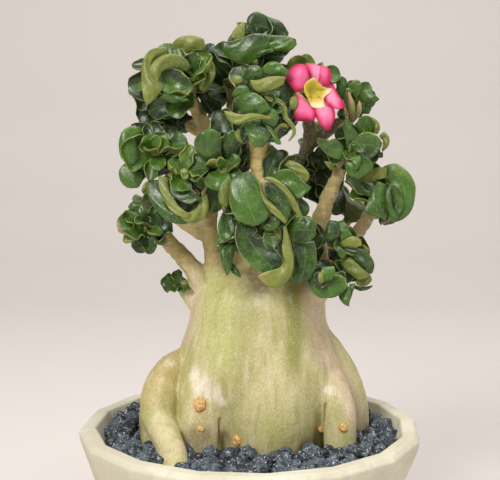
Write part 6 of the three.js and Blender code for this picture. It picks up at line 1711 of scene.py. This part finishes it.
# The near-black end of this ramp is painted shade for the leaves with the lowest tones.
green = waxy.blend(waxy.band(tone, 0.0, 0.6), (0.009, 0.026, 0.004), (0.050, 0.126, 0.009))
green = waxy.over(green, tone, 0.6, 0.95, 1, (0.16, 0.21, 0.028))
edge = waxy.sums("ABSOLUTE", "across")
green = waxy.over(green, edge, 0.08, 0.02, 0.25, (0.16, 0.27, 0.05))
below = waxy.blend(waxy.band(tone, 0.1, 0.9), (0.055, 0.09, 0.010), (0.185, 0.205, 0.028))
below = waxy.over(below, waxy.cloud(3.5), 0.5, 0.68, 0.55, (0.085, 0.125, 0.012))
below = waxy.over(below, waxy.cloud(1.6), 0.56, 0.7, 0.4, (0.30, 0.30, 0.08))
green = waxy.blend("under", green, below)
green = waxy.over(green, waxy.cloud(1.3), 0.54, 0.7, 0.42, (0.17, 0.25, 0.085))
rim = waxy.sums("MAXIMUM", waxy.band(edge, 0.9, 0.98), waxy.band("along", 0.97, 0.995))
rim = waxy.times(rim, waxy.band(waxy.cloud(5), 0.3, 0.7, 0.3, 0.85))
green = waxy.blend(rim, green, (0.25, 0.30, 0.09))
rusty = waxy.times(waxy.band("odd", 0.8, 0.95), waxy.band("along", 0.8, 1.0))
green = waxy.blend(waxy.times(rusty, 0.7), green, (0.38, 0.22, 0.07))
green = waxy.blend("stem", green, (0.26, 0.24, 0.08))
waxy.colour(green)
dull = waxy.times("under", 0.16)
waxy.set("Roughness", waxy.sums("ADD", dull, waxy.band(waxy.cloud(4), 0.3, 0.7, 0.24, 0.46)))
waxy.set("Specular IOR Level", 0.45)
waxy.set("Coat Weight", 0.15)
waxy.set("Coat Roughness", 0.2)
waxy.relief(waxy.sums("ADD", waxy.cloud(4), waxy.times(waxy.cloud(0.9), 0.25)), 0.8, 0.6)
print("leaf finish ready")

# %% All the heads
for index, name in enumerate(LEAVES):
    settle(head_piece(name, *listed_head(name, index + 1)), [name], waxy.material)
for name, base, axis, radius, seed in REAR_HEADS:
    settle(head_piece(name, *rear_head(base, axis, radius, seed)), [name], waxy.material)

# %% [markdown]
# ## The bloom
# Five petals stand round a yellow throat, and no two are alike: one has a pointed tip, one rolls its
# edge over, one ends nearly square. So each petal is a thin sheet between two edge lines, given from
# the throat to the tip. The throat is a crooked funnel, one skin through rings that shrink inwards.

# %% Petals
THROAT = np.array([50.0, -41, 387])
TUBE_END = np.array([47.0, -20, 384])
FACING = unit(THROAT - TUBE_END)
PETAL_THICKNESS = 1.0
PETAL_NUMBERS = ("along", "across", "pale", "stem", "rolled")
PETALS = {
    "upper_left": {
        "near": [(41.6, -41, 388.7), (37.7, -45, 389.4), (33.5, -47, 389.8), (29.7, -46, 394.6),
                 (27.2, -43, 398.4), (26.3, -40, 400.3)],
        "far": [(44.6, -42, 398.4), (45.0, -47, 403.5), (42.7, -48, 408.7), (36.8, -46, 410.4),
                (31.3, -42, 408.1), (27.6, -39, 403.7)],
        "pale": 0.3, "bow": 2.0, "roll": 0,
    },
    "top": {
        "near": [(44.6, -41, 396.9), (44.8, -45, 401.3), (43.1, -48, 405.7), (41.5, -48, 410.2),
                 (44.7, -45, 411.1), (49.8, -42, 409.6)],
        "far": [(53.7, -41, 393.2), (55.6, -47, 393.5), (59.1, -50, 395.3), (61.0, -49, 400.5),
                (59.8, -45, 406.2), (56.2, -41, 409.0)],
        "pale": 0.8, "bow": -0.5, "roll": 3.0,
    },
    "right": {
        "near": [(55.2, -41, 393.9), (60.2, -45, 397.6), (63.1, -47, 394.2), (65.7, -48, 388.6),
                 (69.1, -48, 383.4), (72.0, -46, 379.7)],
        "far": [(53.8, -41, 384.9), (56.1, -46, 382.7), (59.3, -49, 379.7), (63.0, -50, 377.1),
                (67.5, -50, 376.5), (71.2, -47, 377.2)],
        "pale": 1.0, "bow": -1.2, "roll": 0,
    },
    "bottom_right": {
        "near": [(56.8, -41, 384.2), (59.6, -45, 380.4), (63.2, -48, 376.7), (64.2, -49, 370.7),
                 (62.5, -48, 365.5), (60.1, -46, 360.7)],
        "far": [(46.8, -41, 380.6), (47.2, -45, 376.8), (48.6, -48, 372.6), (50.6, -50, 368.2),
                (53.8, -50, 363.6), (57.2, -47, 360.3)],
        "pale": 0.65, "bow": 1.5, "roll": 0,
    },
    "bottom_left": {
        "near": [(46.2, -41, 380.4), (47.4, -45, 377.4), (49.0, -49, 374.5), (49.2, -51, 370.8),
                 (48.3, -50, 368.1), (46.0, -47, 367.0)],
        "far": [(36.0, -41, 390.5), (34.6, -45, 387.2), (34.4, -48, 380.4), (33.3, -50, 374.5),
                (33.1, -49, 370.4), (35.1, -46, 367.7)],
        "pale": 0.4, "bow": 1.2, "roll": 0,
    },
}


def petal_mesh(near, far, pale, bow, roll):
    """A petal with the numbers for its material."""
    points, faces, along, across, _ = sheet_mesh(near, far, bow, FACING, PETAL_THICKNESS, roll)
    rolled = np.clip((across - 0.1) / 0.12, 0, 1) * (roll > 0)
    values = numbers_at(points, PETAL_NUMBERS, along=along, across=across, pale=pale, rolled=rolled)
    return points, faces, values


def petals_mesh():
    """All petals and the tube that they grow from."""
    parts = [petal_mesh(**petal) for petal in PETALS.values()]
    points, faces = tube([(*TUBE_END, 2.5), (*((TUBE_END + THROAT) / 2), 4.2), (*(THROAT - FACING * 9), 5)])
    return join([*parts, (points, faces, numbers_at(points, PETAL_NUMBERS, stem=1))])


silky = Finish("silky_petal", roughness=0.5)
edge = silky.sums("ABSOLUTE", "across")
worn = silky.band(silky.cloud(3.5, 3, (1, 1, 0.5)), 0.4, 0.65, 0.75, 1.1)
pale = silky.times("pale", silky.band(edge, 0.95, 0.25))
pale = silky.times(silky.times(pale, worn), silky.band("along", 0.95, 0.5))
pink = silky.blend(pale, (0.70, 0.045, 0.20), (0.84, 0.30, 0.47))
# The rolled edge of the top petal is a deeper pink, with a dark crimson line along its fold: painted shade
# under the roll.
pink = silky.blend(silky.times("rolled", 0.8), pink, (0.66, 0.04, 0.19))
rim = silky.sums("MAXIMUM", silky.band(edge, 0.5, 0.93), silky.band("along", 0.7, 0.96))
fold = silky.times(silky.band("rolled", 0.05, 0.5), silky.band("rolled", 0.95, 0.5))
rim = silky.sums("MAXIMUM", rim, fold)
pink = silky.blend(silky.times(rim, 0.9), pink, (0.47, 0.004, 0.045))
pink = silky.over(pink, "along", 0.26, 0.04, 0.75, (0.88, 0.66, 0.40))
pink = silky.blend("stem", pink, (0.55, 0.42, 0.14))
silky.colour(pink)
silky.set("Subsurface Weight", 0.1)
silky.set("Subsurface Radius", (0.004, 0.0015, 0.001))
silky.relief(silky.cloud(1.2, 2, (1, 1, 0.4)), 0.15, 0.5)
settle(make_piece("pink_petals", *petals_mesh()), ["flower_petals"], silky.material)

# %% Throat
THROAT_RIM = [
    (41.2, 389.0), (43.3, 385.3), (45.0, 381.9), (46.6, 378.6), (51.2, 377.6), (56.1, 378.2), (55.7, 380.8),
    (55.0, 384.2), (56.8, 386.8), (60.2, 389.4), (60.5, 391.6), (56.4, 392.5), (53.2, 394.6), (51.8, 398.0),
    (49.2, 399.8), (46.2, 399.1), (44.0, 397.6), (41.7, 395.7), (40.8, 393.1),
]
THROAT_RINGS = [
    (0.85, -42.5), (1.02, -44.8), (1.05, -46.6), (1.0, -47.4), (0.8, -46.4), (0.55, -44), (0.3, -41),
    (0.12, -39.5),
]
THROAT_DEEP = (47.6, 390.0)
THROAT_ENDS = (-41.5, -39.2)
# Height of a painted shadow line; the wall below it is painted lighter, as lit.
THROAT_SHADOW_EDGE = 385.5


def throat_mesh():
    """The funnel, with how far each point is from its deep, where its painted shadow line is, and its low
    side, painted as lit.
    """
    closed = through([(x, 0, z) for x, z in [*THROAT_RIM, THROAT_RIM[0]]], 1.0)[:-1, [0, 2]]
    rings = [
        np.insert(np.array(THROAT_DEEP) + share * (closed - THROAT_DEEP), 1, depth, axis=1)
        for share, depth in through([(share, depth, 0) for share, depth in THROAT_RINGS], 0.4)[:, :2]
    ]
    ends = [(THROAT_DEEP[0], depth, THROAT_DEEP[1]) for depth in THROAT_ENDS]
    points = np.vstack([ends[0], *rings, ends[1]])
    reach = np.hypot(points[:, 0] - THROAT_DEEP[0], points[:, 2] - THROAT_DEEP[1])
    shadow_line = np.exp(-(((points[:, 2] - THROAT_SHADOW_EDGE) / 0.5) ** 2)) * (reach < 8) * (reach > 1)
    values = {"reach": reach, "shadow_line": shadow_line, "low": points[:, 2] < THROAT_SHADOW_EDGE}
    return points, ring_faces(len(rings), len(closed)), values


golden = Finish("golden_throat", roughness=0.5)
yellow = golden.blend(golden.band("reach", 0.5, 5.5), (0.34, 0.28, 0.015), (0.58, 0.47, 0.05))
# The low wall is painted lighter, as a painted highlight, and the line above it is a painted shadow.
yellow = golden.blend("low", yellow, (0.62, 0.50, 0.07))
yellow = golden.over(yellow, "reach", 6.5, 11.0, 1, (0.84, 0.66, 0.38))
golden.colour(golden.blend(golden.times("shadow_line", 0.75), yellow, (0.45, 0.15, 0.06)))
golden.relief(golden.cloud(1.0), 0.2, 0.5)
settle(make_piece("yellow_throat", *throat_mesh()), ["flower_throat"], golden.material)

# %% Calyx and buds
CALYX = [(44, 5, 395, 2.2), (45, -6, 390, 2.0), (46.3, -14, 386, 2.5), (46.9, -18, 384.3, 2.9)]
BUDS = [
    [(77, -14, 341, 1.7), (79, -9, 352, 1.4), (80, -8, 368, 1.5)],
    [(80, -8, 366, 1.5), (80, -12, 370, 2.0), (80, -14, 375, 2.7), (79, -15, 381, 2.4), (77, -15, 389, 0.7)],
    [
        (80, -8, 366, 1.5), (83, -12, 370, 1.7), (85, -14, 374, 2.1), (85.5, -15, 378, 1.9),
        (85.5, -15, 382, 0.6),
    ],
    [(80, -8, 366, 1.5), (77, -11, 369, 1.5), (75, -14, 373, 1.8), (74, -14, 378, 0.6)],
]
stalk = Finish("green_stalk", roughness=0.45)
stalk.colour(stalk.blend(stalk.band(stalk.cloud(3), 0.4, 0.65), (0.16, 0.24, 0.06), (0.34, 0.34, 0.12)))
stalk.relief(stalk.cloud(1.2), 0.2, 0.5)
settle(make_piece("bloom_stalk", *tube(CALYX, step=2, sides=16)), ["flower_calyx"], stalk.material)

blush = Finish("blushing_bud", roughness=0.42)
rosy = blush.band(blush.cloud(5, 3, (1, 1, 0.4)), 0.4, 0.62)
blush.colour(blush.blend(rosy, (0.24, 0.27, 0.09), (0.46, 0.25, 0.15)))
blush.relief(blush.cloud(1.5, 2, (1, 1, 0.3)), 0.25, 0.6)
buds = make_piece("closed_buds", *gather([tube(path, step=2, sides=14) for path in BUDS]))
settle(buds, ["buds"], blush.material)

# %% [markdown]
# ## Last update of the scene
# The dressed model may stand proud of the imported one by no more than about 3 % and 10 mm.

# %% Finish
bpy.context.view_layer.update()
print("pieces made:", len(made))
